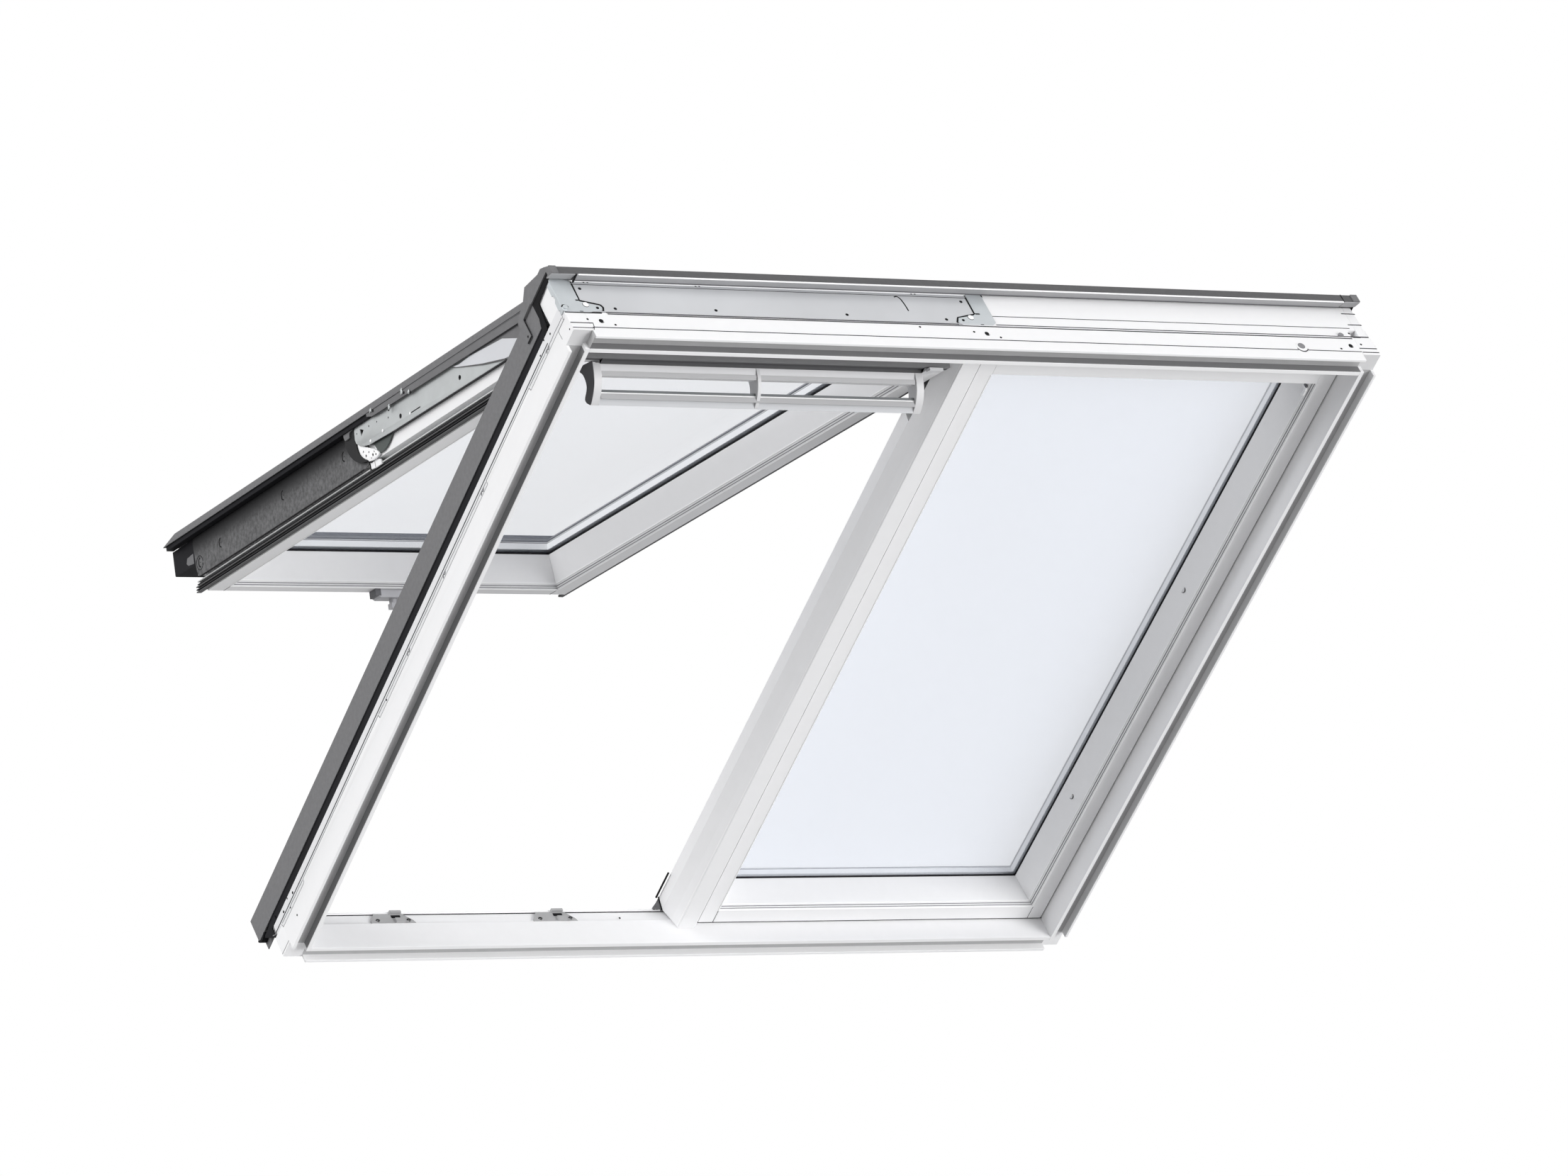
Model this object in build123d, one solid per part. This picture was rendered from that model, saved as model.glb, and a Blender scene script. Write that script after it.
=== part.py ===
from build123d import *
import os

# Two-bay roof window: left bay top-hung and open, right bay fixed.
# Flat frame: x = across, y = minus up-slope distance s, z = outward distance n.
# The flat frame is turned about x to the installed roof pitch at the end.

PITCH = 45.0
OPEN_ANGLE = 30.0
HALF_W = 637.0
HEIGHT = 1178.0
N_ORIGIN = 30.0

# frame section
LIP_OUT = 4.0
LIP_IN = 6.5
FRAME_T = 29.0
GROOVE = 12.0
NOTCH = 28.0
SHELF_N = 46.0
FRAME_N = 64.0
REBATE_T = 16.0
SILL_STEP_T = 26.0
RAIL_N = 47.0
RAIL_T = 2.0
SEAT_T = 2.0
JAMB_IN = HALF_W - FRAME_T
JAMB_REBATE = HALF_W - REBATE_T
HEAD_S = HEIGHT - FRAME_T
JAMB_HEAD_S = HEAD_S - 12.5

# side rails with three wider tabs
RAIL_S0 = 8.0
RAIL_TOP_N = 63.0
TAB_N = 41.0
TAB_LOW = (29.4, 118.0)
TAB_MID = (439.0, 874.0)
TAB_TOP_S = HEIGHT - 134.5

# mullion
MUL_LEFT = -11.5
MUL_RIGHT = 15.7
MUL_FRONT_N = 28.3
MUL_SIDE_N = 45.0
MUL_SIDE_U = -15.6
MUL_BACK_U = -22.3
MUL_RIGHT_U = 19.7
MUL_RIGHT_N = 32.7

# pane stack, outward from the reveal
GASKET_N = 83.5
GASKET_T = 3.0
GLASS_T = 20.0
SASH_N = GASKET_N + GASKET_T + GLASS_T + 4.0

# claddings
CLAD_T = 1.5
CLAD_N1 = SASH_N + 7.5
CLAD_N0 = CLAD_N1 - 40.0
HEAD_N = CLAD_N1 - 7.5
CLAD_FOOT_S = -40.0
CLAD_FLANGE = 11.0
CLAD_HEAD_S = JAMB_HEAD_S - 11.5
CLAD_CHAMFER = 4.5
COVER_CLEAR = 2.0
APRON_OUT_S = -22.4
APRON_N = 69.2
APRON_TOP_N = 72.0
APRON_IN_S = 20.0
HOOD_OVER = 15.0
HOOD_S1 = HEIGHT + HOOD_OVER
HOOD_LIP_N = CLAD_N1 - 14.0
HOOD_TOP_N = CLAD_N1 + 13.6
HOOD_TOP_S0 = HEIGHT - 12.4
HOOD_TOP_S1 = HEIGHT - 2.5
CREST_S = HEIGHT - 48.0
CREST_N = HOOD_TOP_N + 14.7
CHEEK_T = 3.0
CHEEK_FOOT_S = CLAD_HEAD_S - 41.3
FLAP_W = 14.3
FLAP_N = CLAD_N1 - 31.0
END_CAP_W = 10.5
MULCOV_LEFT = -4.0
MULCOV_RIGHT = 20.0

# sheet parts at the head
PLATE_N = 50.0
PLATE_T = 1.2
FOLD_N = HEAD_N - 8.7
RIDGE_N = HEAD_N - 3.5
BRACKET_U = -HALF_W + 30.0
BRACKET_TIP_U = BRACKET_U + 29.0
BRACKET_TIP_N = 55.5
BRACKET2_U0 = 2.1
BRACKET2_U1 = 27.4
BRACKET2_TIP_U = -32.3
HOLE_R = 2.2

# catches on the sill
CATCH_W = 70.0
CATCH_T = 3.0
CATCH_TOP_N = 66.0
CATCH_LIP = 5.0
CATCH_IN = 111.5
CATCH_L = -JAMB_IN + CATCH_IN
CATCH_R = MUL_BACK_U - 2 * CATCH_IN + 8.0

# sash section, closed position
FACE_N = 35.0
FIXED_FACE_N = 37.5
SASH_CLEAR = 2.0
MUL_CLEAR = 1.7
FOOT_CLEAR = 2.5
HEAD_CLEAR = 5.0
SASH_L = -JAMB_IN + SASH_CLEAR
SASH_R = MUL_BACK_U - MUL_CLEAR
SASH_BOT = FRAME_T + FOOT_CLEAR
SASH_TOP = HEAD_S - HEAD_CLEAR
STILE_FACE = 25.5
MOULD_N = 8.0
MOULD_W = 4.0
REVEAL_IN = 13.0
WIDE_N = 57.0
WIDE_OUT = 12.0
GLASS_EDGE = 27.0
HINGE_S = HEAD_S - 22.4
HINGE_N = SASH_N - 17.5
TOP_CUT_S = HEAD_S - 14.0
TOP_CUT_N = 62.0
WIDE_TOP_S = HEAD_S - 37.0

# fixed sash
FIX_L = MULCOV_RIGHT + 4.5
FIX_R = JAMB_IN - SASH_CLEAR
FIX_BOT = FRAME_T + 2.0
FIX_TOP = HEAD_S - 3.0
FIX_TOP_FACE = STILE_FACE + 22.5

# sash covers and boards
COVER_U = -HALF_W + 5.0
COVER_N0 = CLAD_N1 + 1.0
COVER_N1 = COVER_N0 + 9.5
COVER_T = 3.5
COVER_FOOT_S = -42.0
COVER_TOP_S = HEAD_S - 41.0
COVER_IN_W = 57.0
FIX_COVER_W = 40.0
APRON_BACK_N = SASH_N + 1.5
APRON_LOW_N = APRON_BACK_N - 37.0
BOARD_T = 1.5
BOARD_FOOT_S = 20.0
PIVOT_S = HEIGHT / 2 + 3.0
BOARD_HEAD_S = PIVOT_S - 7.0
ARM_S0 = PIVOT_S - 33.0
ARM_T = 4.5
ARM_N0 = HINGE_N - 16.5
ARM_TIP_N = HINGE_N + 5.0
ARM_TIP_S = PIVOT_S + 12.0
ARM_END_R = 8.0
ARM_CLEAR = 1.0
PIN_R = 5.0
PIN_PLAY = 0.2
HOUSING_N = SASH_N + 1.5
HOUSING_R = 55.0
HOUSING_T = 3.0

# lock
LOCK_L = 62.0
LOCK_W = 21.0
LOCK_H = 13.0
LEVER_L = 58.0
LEVER_W = 12.0
LEVER_T = 8.0

# vent flap, its brackets and the control bar, closed position
FLAP_FACE_S = SASH_TOP - 14.0
FLAP_FACE_N = 13.5
FLAP_BACK_S = FLAP_FACE_S - 24.0
FLAP_END = 12.0
FLAP_BASE_T = 4.0
BAR_BOTTOM_N = -22.1
BAR_TOP_N = -5.2
BAR_S0 = FLAP_FACE_S - 26.5
BAR_S1 = FLAP_FACE_S - 10.1
BAR_SLOT = 3.0
BRACKET_W = 11.5
BRACKET_TOE_S = FLAP_FACE_S - 18.9
MID_BRACKET_W = 5.0
BAR_BRACKET_L = SASH_L + 37.7
BAR_BRACKET_R = SASH_R - 49.2
BAR_BRACKET_M = (SASH_L + SASH_R) / 2 - 5.0


def block(u0, u1, s0, s1, n0, n1):
    """Box between two u, two s and two n values."""
    box = Box(u1 - u0, s1 - s0, n1 - n0)
    return Pos((u0 + u1) / 2, -(s0 + s1) / 2, (n0 + n1) / 2 - N_ORIGIN) * box


def along_u(points, u0, u1):
    """Section given as (s, n) points, drawn out across the window."""
    flat = [(-s, n - N_ORIGIN) for s, n in points]
    face = Plane.YZ.offset(u0) * make_face(Polyline(*flat, close=True))
    return extrude(face, amount=u1 - u0, dir=(1, 0, 0))


def along_s(points, s0, s1):
    """Section given as (u, n) points, drawn out up the slope."""
    flat = [(u, n - N_ORIGIN) for u, n in points]
    face = Pos(0, -s0, 0) * (Plane.XZ * make_face(Polyline(*flat, close=True)))
    return extrude(face, amount=s1 - s0, dir=(0, -1, 0))


def across(shape):
    """Mirror image about the middle plane of the window."""
    return mirror(shape, about=Plane.YZ)


def swung(shape):
    """Turn a closed-position sash piece out about the head hinge line."""
    axis = Axis((0, -HINGE_S, HINGE_N - N_ORIGIN), (1, 0, 0))
    return shape.rotate(axis, OPEN_ANGLE)


def installed(shape):
    """Lean the flat window back to the roof pitch."""
    return shape.rotate(Axis.X, -PITCH)


def outer_seats():
    """Shallow set-back of the frame's lower and upper outer sides, where sheet parts lie."""
    low = block(-HALF_W - 1, HALF_W + 1, -1, SEAT_T, RAIL_N, HEAD_N + 1)
    return low + block(-HALF_W - 1, HALF_W + 1, HEIGHT - SEAT_T, HEIGHT + 1, RAIL_N, HEAD_N + 1)


def jamb_left():
    body = along_s([
        (-HALF_W, GROOVE), (-JAMB_IN, GROOVE), (-JAMB_IN, SHELF_N),
        (-JAMB_REBATE, SHELF_N), (-JAMB_REBATE, FRAME_N), (-HALF_W + RAIL_T, FRAME_N),
        (-HALF_W + RAIL_T, RAIL_N), (-HALF_W, RAIL_N)], 0, HEIGHT)
    end = block(-HALF_W + RAIL_T, -JAMB_REBATE, JAMB_HEAD_S, HEIGHT, FRAME_N, HEAD_N)
    lip = block(-HALF_W, -HALF_W + LIP_OUT, NOTCH, HEIGHT - NOTCH, 0, GROOVE)
    bead = block(-JAMB_IN - LIP_IN, -JAMB_IN, FRAME_T - LIP_IN, HEIGHT - FRAME_T + LIP_IN, 0, GROOVE)
    return body + end + lip + bead - outer_seats() - rail_left()


def frame_sill():
    body = along_u([
        (0, GROOVE), (FRAME_T, GROOVE), (FRAME_T, SHELF_N), (SILL_STEP_T, SHELF_N),
        (SILL_STEP_T, FRAME_N), (0, FRAME_N)], -JAMB_IN, JAMB_IN)
    lip = block(-JAMB_IN, JAMB_IN, 0, LIP_OUT, 0, GROOVE)
    bead = block(-JAMB_IN, JAMB_IN, FRAME_T - LIP_IN, FRAME_T, 0, GROOVE)
    return body + lip + bead - outer_seats()


def frame_head():
    body = block(-JAMB_IN, JAMB_IN, HEAD_S, HEIGHT, GROOVE, FRAME_N)
    upper = block(-JAMB_REBATE, JAMB_REBATE, HEAD_S, HEIGHT, FRAME_N, HEAD_N)
    lip = block(-JAMB_IN, JAMB_IN, HEIGHT - LIP_OUT, HEIGHT, 0, GROOVE)
    bead = block(-JAMB_IN, JAMB_IN, HEAD_S, HEAD_S + LIP_IN, 0, GROOVE)
    return body + upper + lip + bead - outer_seats()


def mullion():
    return along_s([
        (MUL_LEFT, MUL_FRONT_N), (MUL_RIGHT, MUL_FRONT_N), (MUL_RIGHT_U, MUL_RIGHT_N),
        (MUL_RIGHT_U, FRAME_N), (MUL_BACK_U, FRAME_N), (MUL_SIDE_U, MUL_SIDE_N)],
        FRAME_T, HEAD_S)


def rail_left():
    inner = -HALF_W + RAIL_T
    rail = block(-HALF_W, inner, RAIL_S0, HEIGHT - SEAT_T, RAIL_N, RAIL_TOP_N)
    for s0, s1 in (TAB_LOW, TAB_MID, (TAB_TOP_S, HEIGHT - SEAT_T)):
        rail += block(-HALF_W, inner, s0, s1, TAB_N, RAIL_N)
    return rail


def side_cladding_left():
    out, web = -HALF_W, -HALF_W + CLAD_FLANGE
    clad = along_s([
        (out, CLAD_N0), (out + CLAD_T, CLAD_N0), (out + CLAD_T, CLAD_N1 - CLAD_T),
        (web - CLAD_T, CLAD_N1 - CLAD_T), (web - CLAD_T, FRAME_N), (web, FRAME_N),
        (web, CLAD_N1), (out, CLAD_N1)], CLAD_FOOT_S, CLAD_HEAD_S)
    corner = along_u([
        (CLAD_HEAD_S + 1, CLAD_N0 - 1), (CLAD_HEAD_S - CLAD_CHAMFER, CLAD_N0 - 1),
        (CLAD_HEAD_S - CLAD_CHAMFER, CLAD_N0), (CLAD_HEAD_S, CLAD_N0 + 3 * CLAD_CHAMFER),
        (CLAD_HEAD_S + 1, CLAD_N0 + 3 * CLAD_CHAMFER)], out - 1, out + 2 * CLAD_T)
    return clad - corner


def sill_apron():
    apron = along_u([
        (SEAT_T, RAIL_N + 0.2), (APRON_OUT_S, APRON_N), (APRON_OUT_S + 2, APRON_TOP_N),
        (APRON_IN_S, APRON_TOP_N), (APRON_IN_S, FRAME_N), (SEAT_T, FRAME_N)], -HALF_W, HALF_W)
    return apron - side_cladding_left() - across(side_cladding_left())


def hood_outline(inner):
    """(s, n) points of the hood's outer side, closed at s = inner."""
    return [
        (inner, HEAD_N), (HEIGHT, HEAD_N), (HOOD_S1, HOOD_LIP_N), (HOOD_S1, CLAD_N1),
        (HOOD_TOP_S1 + 8, CLAD_N1 + 8),
        (HOOD_TOP_S1, HOOD_TOP_N), (HOOD_TOP_S0, HOOD_TOP_N), (CREST_S, CREST_N)]


def head_hood():
    under = [(CREST_S - 1, CREST_N - CLAD_T - 0.5), (HOOD_TOP_S0 - 3, HOOD_TOP_N - CLAD_T), (HEAD_S, CLAD_N1)]
    return along_u(hood_outline(HEAD_S) + under, -HALF_W, HALF_W)


def hood_side_left():
    edge = [
        (CREST_S - 17, CREST_N - 11.5), (CHEEK_FOOT_S + 4, CLAD_N1 + 11), (CHEEK_FOOT_S, CLAD_N1 + 5),
        (CHEEK_FOOT_S, FLAP_N), (CHEEK_FOOT_S + FLAP_W, FLAP_N), (CHEEK_FOOT_S + FLAP_W, CLAD_N1 - 1),
        (HEIGHT + 6, CLAD_N1 - 1)]
    out = -HALF_W - CHEEK_T
    cheek = along_u(hood_outline(HEIGHT + 6) + edge, out, -HALF_W)
    return cheek + block(out, -HALF_W - CHEEK_T + END_CAP_W, HOOD_S1, HOOD_S1 + CLAD_T, HOOD_LIP_N, CLAD_N1)


def head_plate(points, thick):
    """Sheet part lying on the head's outer side, from (u, n) points."""
    return along_s(points, HEIGHT - SEAT_T, HEIGHT - SEAT_T + thick)


def head_hole(u, n):
    hole = Rotation(90, 0, 0) * Cylinder(HOLE_R, 3 * SEAT_T)
    return Pos(u, -HEIGHT, n - N_ORIGIN) * hole


def bracket_left():
    tip_u, tip_n = BRACKET_TIP_U, BRACKET_TIP_N
    leg = head_plate([
        (-HALF_W, RAIL_N), (BRACKET_U + 7, RAIL_N), (tip_u - 4, tip_n - 5), (tip_u, tip_n - 2),
        (tip_u, tip_n + 2), (tip_u - 4, tip_n + 5), (BRACKET_U, tip_n + 12), (BRACKET_U, HEAD_N),
        (-HALF_W, HEAD_N)], SEAT_T)
    return leg - head_hole(tip_u - 6.5, tip_n)


def bracket_right():
    tip = BRACKET2_TIP_U
    leg = head_plate([
        (BRACKET2_U1 - 7, RAIL_N), (BRACKET2_U1, PLATE_N + 3), (BRACKET2_U1, HEAD_N), (BRACKET2_U0, HEAD_N),
        (BRACKET2_U0, 69), (tip + 30, 66), (tip + 4, 60), (tip, PLATE_N + 1), (tip + 6, RAIL_N)], SEAT_T)
    return leg - head_hole(tip + 9.5, BRACKET_TIP_N)


def hinge_plate():
    low, s = HEIGHT - SEAT_T, HEIGHT - SEAT_T + PLATE_T
    sheet = along_u([
        (low, PLATE_N - 1.8), (s + 1, PLATE_N - 1.8), (s + 1, PLATE_N - 0.8), (s, PLATE_N), (s, FOLD_N),
        (s + 0.5, FOLD_N + 1.5), (s, RIDGE_N), (s + 1.2, RIDGE_N + 1.2), (s + 1.2, HEAD_N - 0.8),
        (s, HEAD_N), (low, HEAD_N)], BRACKET_U, BRACKET2_U0)
    holes = head_hole(BRACKET_TIP_U - 6.5, BRACKET_TIP_N) + head_hole(BRACKET2_TIP_U + 9.5, BRACKET_TIP_N)
    return sheet - bracket_left() - bracket_right() - holes


def catch(u0):
    s0, s1 = SILL_STEP_T, SILL_STEP_T + CATCH_T
    low, top = SHELF_N, CATCH_TOP_N
    plate = along_s([
        (u0, low), (u0, low + 5), (u0 + 9, top - 1), (u0 + 15, top), (u0 + 16, top - 2.5),
        (u0 + 29, top - 2.5), (u0 + 32, top), (u0 + 50, top), (u0 + 67, low + 5.5),
        (u0 + CATCH_W, low)], s0, s1)
    slot = block(u0 + 34, u0 + 49, s0 - 1, s1 + 1, top - 10.5, top - 5)
    keeper = block(u0 + 32, u0 + 50, s1, s1 + CATCH_LIP, top - 4, top)
    tongue = block(u0 + 38, u0 + 52, s1, s1 + CATCH_T, low, low + 8)
    hole = Rotation(90, 0, 0) * Cylinder(HOLE_R, 4 * CATCH_T)
    plate -= Pos(u0 + 11, -s1, low + 4 - N_ORIGIN) * hole + Pos(u0 + 60, -s1, low + 4.5 - N_ORIGIN) * hole
    return plate - slot + keeper + tongue


def mullion_cover():
    return block(MULCOV_LEFT, MULCOV_RIGHT, FRAME_T, HEAD_S, FRAME_N, CLAD_N1)


def fixed_section(side):
    """(distance from the outer edge, n) points of a fixed sash member; side is the shelf width."""
    face = STILE_FACE
    return [
        (0, FIXED_FACE_N), (0, SHELF_N), (-side, SHELF_N), (-side, SASH_N),
        (GLASS_EDGE - 2.0, SASH_N), (GLASS_EDGE - 2.0, GASKET_N), (face + MOULD_W + REVEAL_IN, GASKET_N),
        (face + MOULD_W, FIXED_FACE_N + MOULD_N), (face, FIXED_FACE_N)]


def fixed_stile_right():
    side = JAMB_REBATE - FIX_R
    return along_s([(FIX_R - d, n) for d, n in fixed_section(side)], FIX_BOT, FIX_TOP)


def fixed_stile_left():
    pts = [(FIX_L + d, n) for d, n in fixed_section(FIX_L - MULCOV_RIGHT)]
    pts[2] = (FIX_L, FRAME_N)
    pts[1] = (FIX_L, FRAME_N)
    pts[2] = (MULCOV_RIGHT, FRAME_N)
    return along_s(pts, FIX_BOT, FIX_TOP)


def fixed_rail_bottom():
    side = FIX_BOT - SILL_STEP_T
    pts = [(FIX_BOT + d, n) for d, n in fixed_section(side)]
    rail = along_u(pts, FIX_L + STILE_FACE, FIX_R - STILE_FACE)
    return rail - fixed_stile_left() - fixed_stile_right()


def fixed_rail_top():
    """The top rail stands deeper than the others and has no moulding."""
    section = fixed_section(HEAD_S - FIX_TOP)[:6]
    section += [(FIX_TOP_FACE, GASKET_N), (FIX_TOP_FACE, FIXED_FACE_N)]
    pts = [(FIX_TOP - d, n) for d, n in section]
    rail = along_u(pts, FIX_L + STILE_FACE, FIX_R - STILE_FACE)
    return rail - fixed_stile_left() - fixed_stile_right()


def ring(u0, u1, s0, s1, n0, n1, w):
    """Flat rectangular ring of width w."""
    return block(u0, u1, s0, s1, n0, n1) - block(u0 + w, u1 - w, s0 + w, s1 - w, n0 - 1, n1 + 1)


def fixed_glass():
    e = GLASS_EDGE
    n0 = GASKET_N + GASKET_T
    return block(FIX_L + e, FIX_R - e, FIX_BOT + e, FIX_TOP - e, n0, n0 + GLASS_T)


def fixed_gasket():
    e = GLASS_EDGE
    return ring(FIX_L + e, FIX_R - e, FIX_BOT + e, FIX_TOP - e, GASKET_N, GASKET_N + GASKET_T, 16.0)


def fixed_cover():
    u0, u1 = MULCOV_RIGHT, HALF_W - CLAD_FLANGE
    s0, s1 = CLAD_FOOT_S, HEAD_S
    w = FIX_COVER_W
    cut = block(FIX_L + w, FIX_R - w, FIX_BOT + w + 5, FIX_TOP - w - 20, SASH_N - 5, CLAD_N1 + 5)
    return block(u0, u1, s0, s1, SASH_N, CLAD_N1 - COVER_CLEAR) - cut


def sash_section():
    """(distance from the outer edge, n) points of an opening sash member."""
    face = STILE_FACE
    return [
        (0, FACE_N), (0, WIDE_N), (-WIDE_OUT, WIDE_N), (-WIDE_OUT, SASH_N),
        (GLASS_EDGE - 2.0, SASH_N), (GLASS_EDGE - 2.0, GASKET_N), (face + MOULD_W + REVEAL_IN, GASKET_N),
        (face + MOULD_W, FACE_N + MOULD_N), (face, FACE_N)]


def sash_top_cuts():
    """Clearance at the head end, so that the sash can swing out."""
    top = block(-700, 0, TOP_CUT_S, HEIGHT, TOP_CUT_N, SASH_N + 5)
    left = block(SASH_L - 20, SASH_L, WIDE_TOP_S, HEIGHT, WIDE_N - 1, SASH_N + 5)
    right = block(SASH_R, SASH_R + 20, WIDE_TOP_S, HEIGHT, WIDE_N - 1, SASH_N + 5)
    return top + left + right


def sash_stile_left():
    pts = [(SASH_L + d, n) for d, n in sash_section()]
    return along_s(pts, SASH_BOT, SASH_TOP) - sash_top_cuts()


def sash_stile_right():
    pts = [(SASH_R - d, n) for d, n in sash_section()]
    return along_s(pts, SASH_BOT, SASH_TOP) - sash_top_cuts()


def sash_rail(edge, sign):
    pts = [(edge + sign * d, n) for d, n in sash_section()]
    pts[2] = (edge, SASH_N)
    pts[1] = (edge, WIDE_N)
    del pts[3]
    rail = along_u(pts, SASH_L + STILE_FACE, SASH_R - STILE_FACE)
    return rail - sash_stile_left() - sash_stile_right()


def sash_rail_bottom():
    return sash_rail(SASH_BOT, 1)


def sash_rail_top():
    return sash_rail(SASH_TOP, -1) - block(-700, 0, TOP_CUT_S, HEIGHT, TOP_CUT_N, SASH_N + 5)


def sash_glass():
    e = GLASS_EDGE
    n0 = GASKET_N + GASKET_T
    return block(SASH_L + e, SASH_R - e, SASH_BOT + e, SASH_TOP - e, n0, n0 + GLASS_T)


def sash_gasket():
    e = GLASS_EDGE
    return ring(SASH_L + e, SASH_R - e, SASH_BOT + e, SASH_TOP - e, GASKET_N, GASKET_N + GASKET_T, 16.0)


def sash_cover():
    u0, u1 = COVER_U, SASH_L + SASH_R - COVER_U
    top = along_u([
        (COVER_FOOT_S, COVER_N0), (COVER_FOOT_S + 6, COVER_N0), (0, COVER_N1 - COVER_T),
        (COVER_TOP_S, COVER_N1 - COVER_T), (COVER_TOP_S, COVER_N1), (0, COVER_N1)], u0, u1)
    strip = [(COVER_FOOT_S, COVER_N0), (COVER_TOP_S, COVER_N0), (COVER_TOP_S, COVER_N1), (0, COVER_N1)]
    sides = along_u(strip, u0, u0 + CLAD_T) + along_u(strip, u1 - CLAD_T, u1)
    pad = block(SASH_L - WIDE_OUT, SASH_R + WIDE_OUT, SASH_BOT, COVER_TOP_S, SASH_N, COVER_N1)
    w = COVER_IN_W
    cut = block(u0 + w, u1 - w, SASH_BOT + w - 17, COVER_TOP_S - w + 27, SASH_N - 5, COVER_N1 + 5)
    return top + sides + pad - cut


def sash_apron():
    u0, u1 = SASH_L - WIDE_OUT, SASH_R + WIDE_OUT
    back, low = APRON_BACK_N, APRON_LOW_N
    return along_u([
        (COVER_FOOT_S + 2, back), (COVER_FOOT_S + 2.4, low + 1.5), (COVER_FOOT_S + 4, low), (SASH_BOT, low),
        (SASH_BOT, COVER_N1 - COVER_T),
        (10, COVER_N1 - COVER_T), (10, back)], u0, u1)


def side_board_left():
    u = SASH_L - WIDE_OUT
    return block(u - BOARD_T, u, BOARD_FOOT_S, BOARD_HEAD_S, WIDE_N, SASH_N)


def side_board_right():
    u = SASH_R + WIDE_OUT
    return block(u, u + BOARD_T, BOARD_FOOT_S, BOARD_HEAD_S, WIDE_N, SASH_N)


def lift_arm(side, face, reach):
    """Arm from the board face to the hinge line, with its pivot housing and head pin.

    side is +1 or -1 outward from the sash, face the board's outer u, reach the u of the pin's seat.
    """
    u0, u1 = sorted((face, face + side * ARM_T))
    under = COVER_N0 - ARM_CLEAR
    top = HINGE_S - 6
    arm = along_u([
        (ARM_S0 + 21, under), (ARM_S0 + 3, under - 6), (ARM_S0, ARM_TIP_N), (ARM_S0 + 4, ARM_TIP_N - 8),
        (ARM_S0 + 22, ARM_N0 + 5), (ARM_TIP_S + 50, ARM_N0), (HINGE_S - 116, ARM_N0 - 2),
        (top, HINGE_N - ARM_END_R), (HINGE_S, HINGE_N - ARM_END_R), (HINGE_S, HINGE_N + ARM_END_R),
        (top, HINGE_N + ARM_END_R), (HINGE_S - 66, under)], u0, u1)
    pin_u0, pin_u1 = sorted((face, reach - side * PIN_PLAY))
    eye = Rotation(0, 90, 0) * Cylinder(ARM_END_R, u1 - u0)
    pin = Rotation(0, 90, 0) * Cylinder(PIN_R, pin_u1 - pin_u0)
    arm += Pos((u0 + u1) / 2, -HINGE_S, HINGE_N - N_ORIGIN) * eye
    arm += Pos((pin_u0 + pin_u1) / 2, -HINGE_S, HINGE_N - N_ORIGIN) * pin
    h0, h1 = sorted((face, face + side * HOUSING_T))
    housing = Rotation(0, 90, 0) * Cylinder(HOUSING_R, h1 - h0)
    housing = Pos((h0 + h1) / 2, -PIVOT_S, HOUSING_N - N_ORIGIN) * housing
    lid = block(h0 - 1, h1 + 1, PIVOT_S - 2 * HOUSING_R, PIVOT_S + 2 * HOUSING_R, under, under + 2 * HOUSING_R)
    return arm + (housing - lid)


def lift_arm_left():
    return lift_arm(-1, SASH_L - WIDE_OUT - BOARD_T, -HALF_W + CLAD_FLANGE)


def lift_arm_right():
    return lift_arm(1, SASH_R + WIDE_OUT + BOARD_T, MULCOV_LEFT)


def sash_lock():
    """Lock body on the bottom rail's face, with its spindle and a short lever."""
    mid, low, s0 = (SASH_L + SASH_R) / 2, FACE_N - LOCK_H, SASH_BOT + 0.5
    half, slope = LOCK_L / 2, LOCK_H / 2
    body = along_s([
        (mid - half, FACE_N), (mid - half + 2, low + 3), (mid - half + slope, low),
        (mid + half - slope, low), (mid + half - 2, low + 3), (mid + half, FACE_N)], s0, s0 + LOCK_W)
    spindle = Cylinder(LEVER_W / 2, LOCK_H)
    body += Pos(mid, -s0 - LOCK_W / 2, low - N_ORIGIN) * spindle
    s1, tip = s0 + (LOCK_W - LEVER_W) / 2, low - LOCK_H / 2
    return body + block(mid - LEVER_W / 2, mid + LEVER_L, s1, s1 + LEVER_W, tip - LEVER_T, tip)


def vent_flap():
    face, low = FLAP_FACE_S, FLAP_FACE_N
    section = [
        (face, FACE_N), (face, low + 13.5), (face - 1, low + 6.5), (face - 2, low), (face - 10, low + 0.5),
        (FLAP_BACK_S + 6, low + 7), (FLAP_BACK_S, FACE_N)]
    return along_u(section, SASH_L + FLAP_END, SASH_R - FLAP_END)


def bar_section():
    """(s, n) points of the control bar, a shallow channel with a slot on its upper side."""
    mid = (BAR_S0 + BAR_S1) / 2
    return [
        (BAR_S1, BAR_TOP_N), (BAR_S1 - 1, BAR_TOP_N - 3.5), (BAR_S1 - 2.4, BAR_TOP_N - 5),
        (BAR_S1 - 5.7, BAR_BOTTOM_N + 6), (BAR_S1 - 7.7, BAR_BOTTOM_N), (BAR_S0 + 3, BAR_BOTTOM_N + 4),
        (BAR_S0, BAR_TOP_N - 5), (BAR_S0 + 3, BAR_TOP_N - 1), (mid - 1, BAR_TOP_N - 1),
        (mid, BAR_TOP_N - 1 - BAR_SLOT), (mid + 3, BAR_TOP_N - 1 - BAR_SLOT), (mid + 4, BAR_TOP_N)]


def control_bar():
    return along_u(bar_section(), BAR_BRACKET_L + BRACKET_W, BAR_BRACKET_R)


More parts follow.
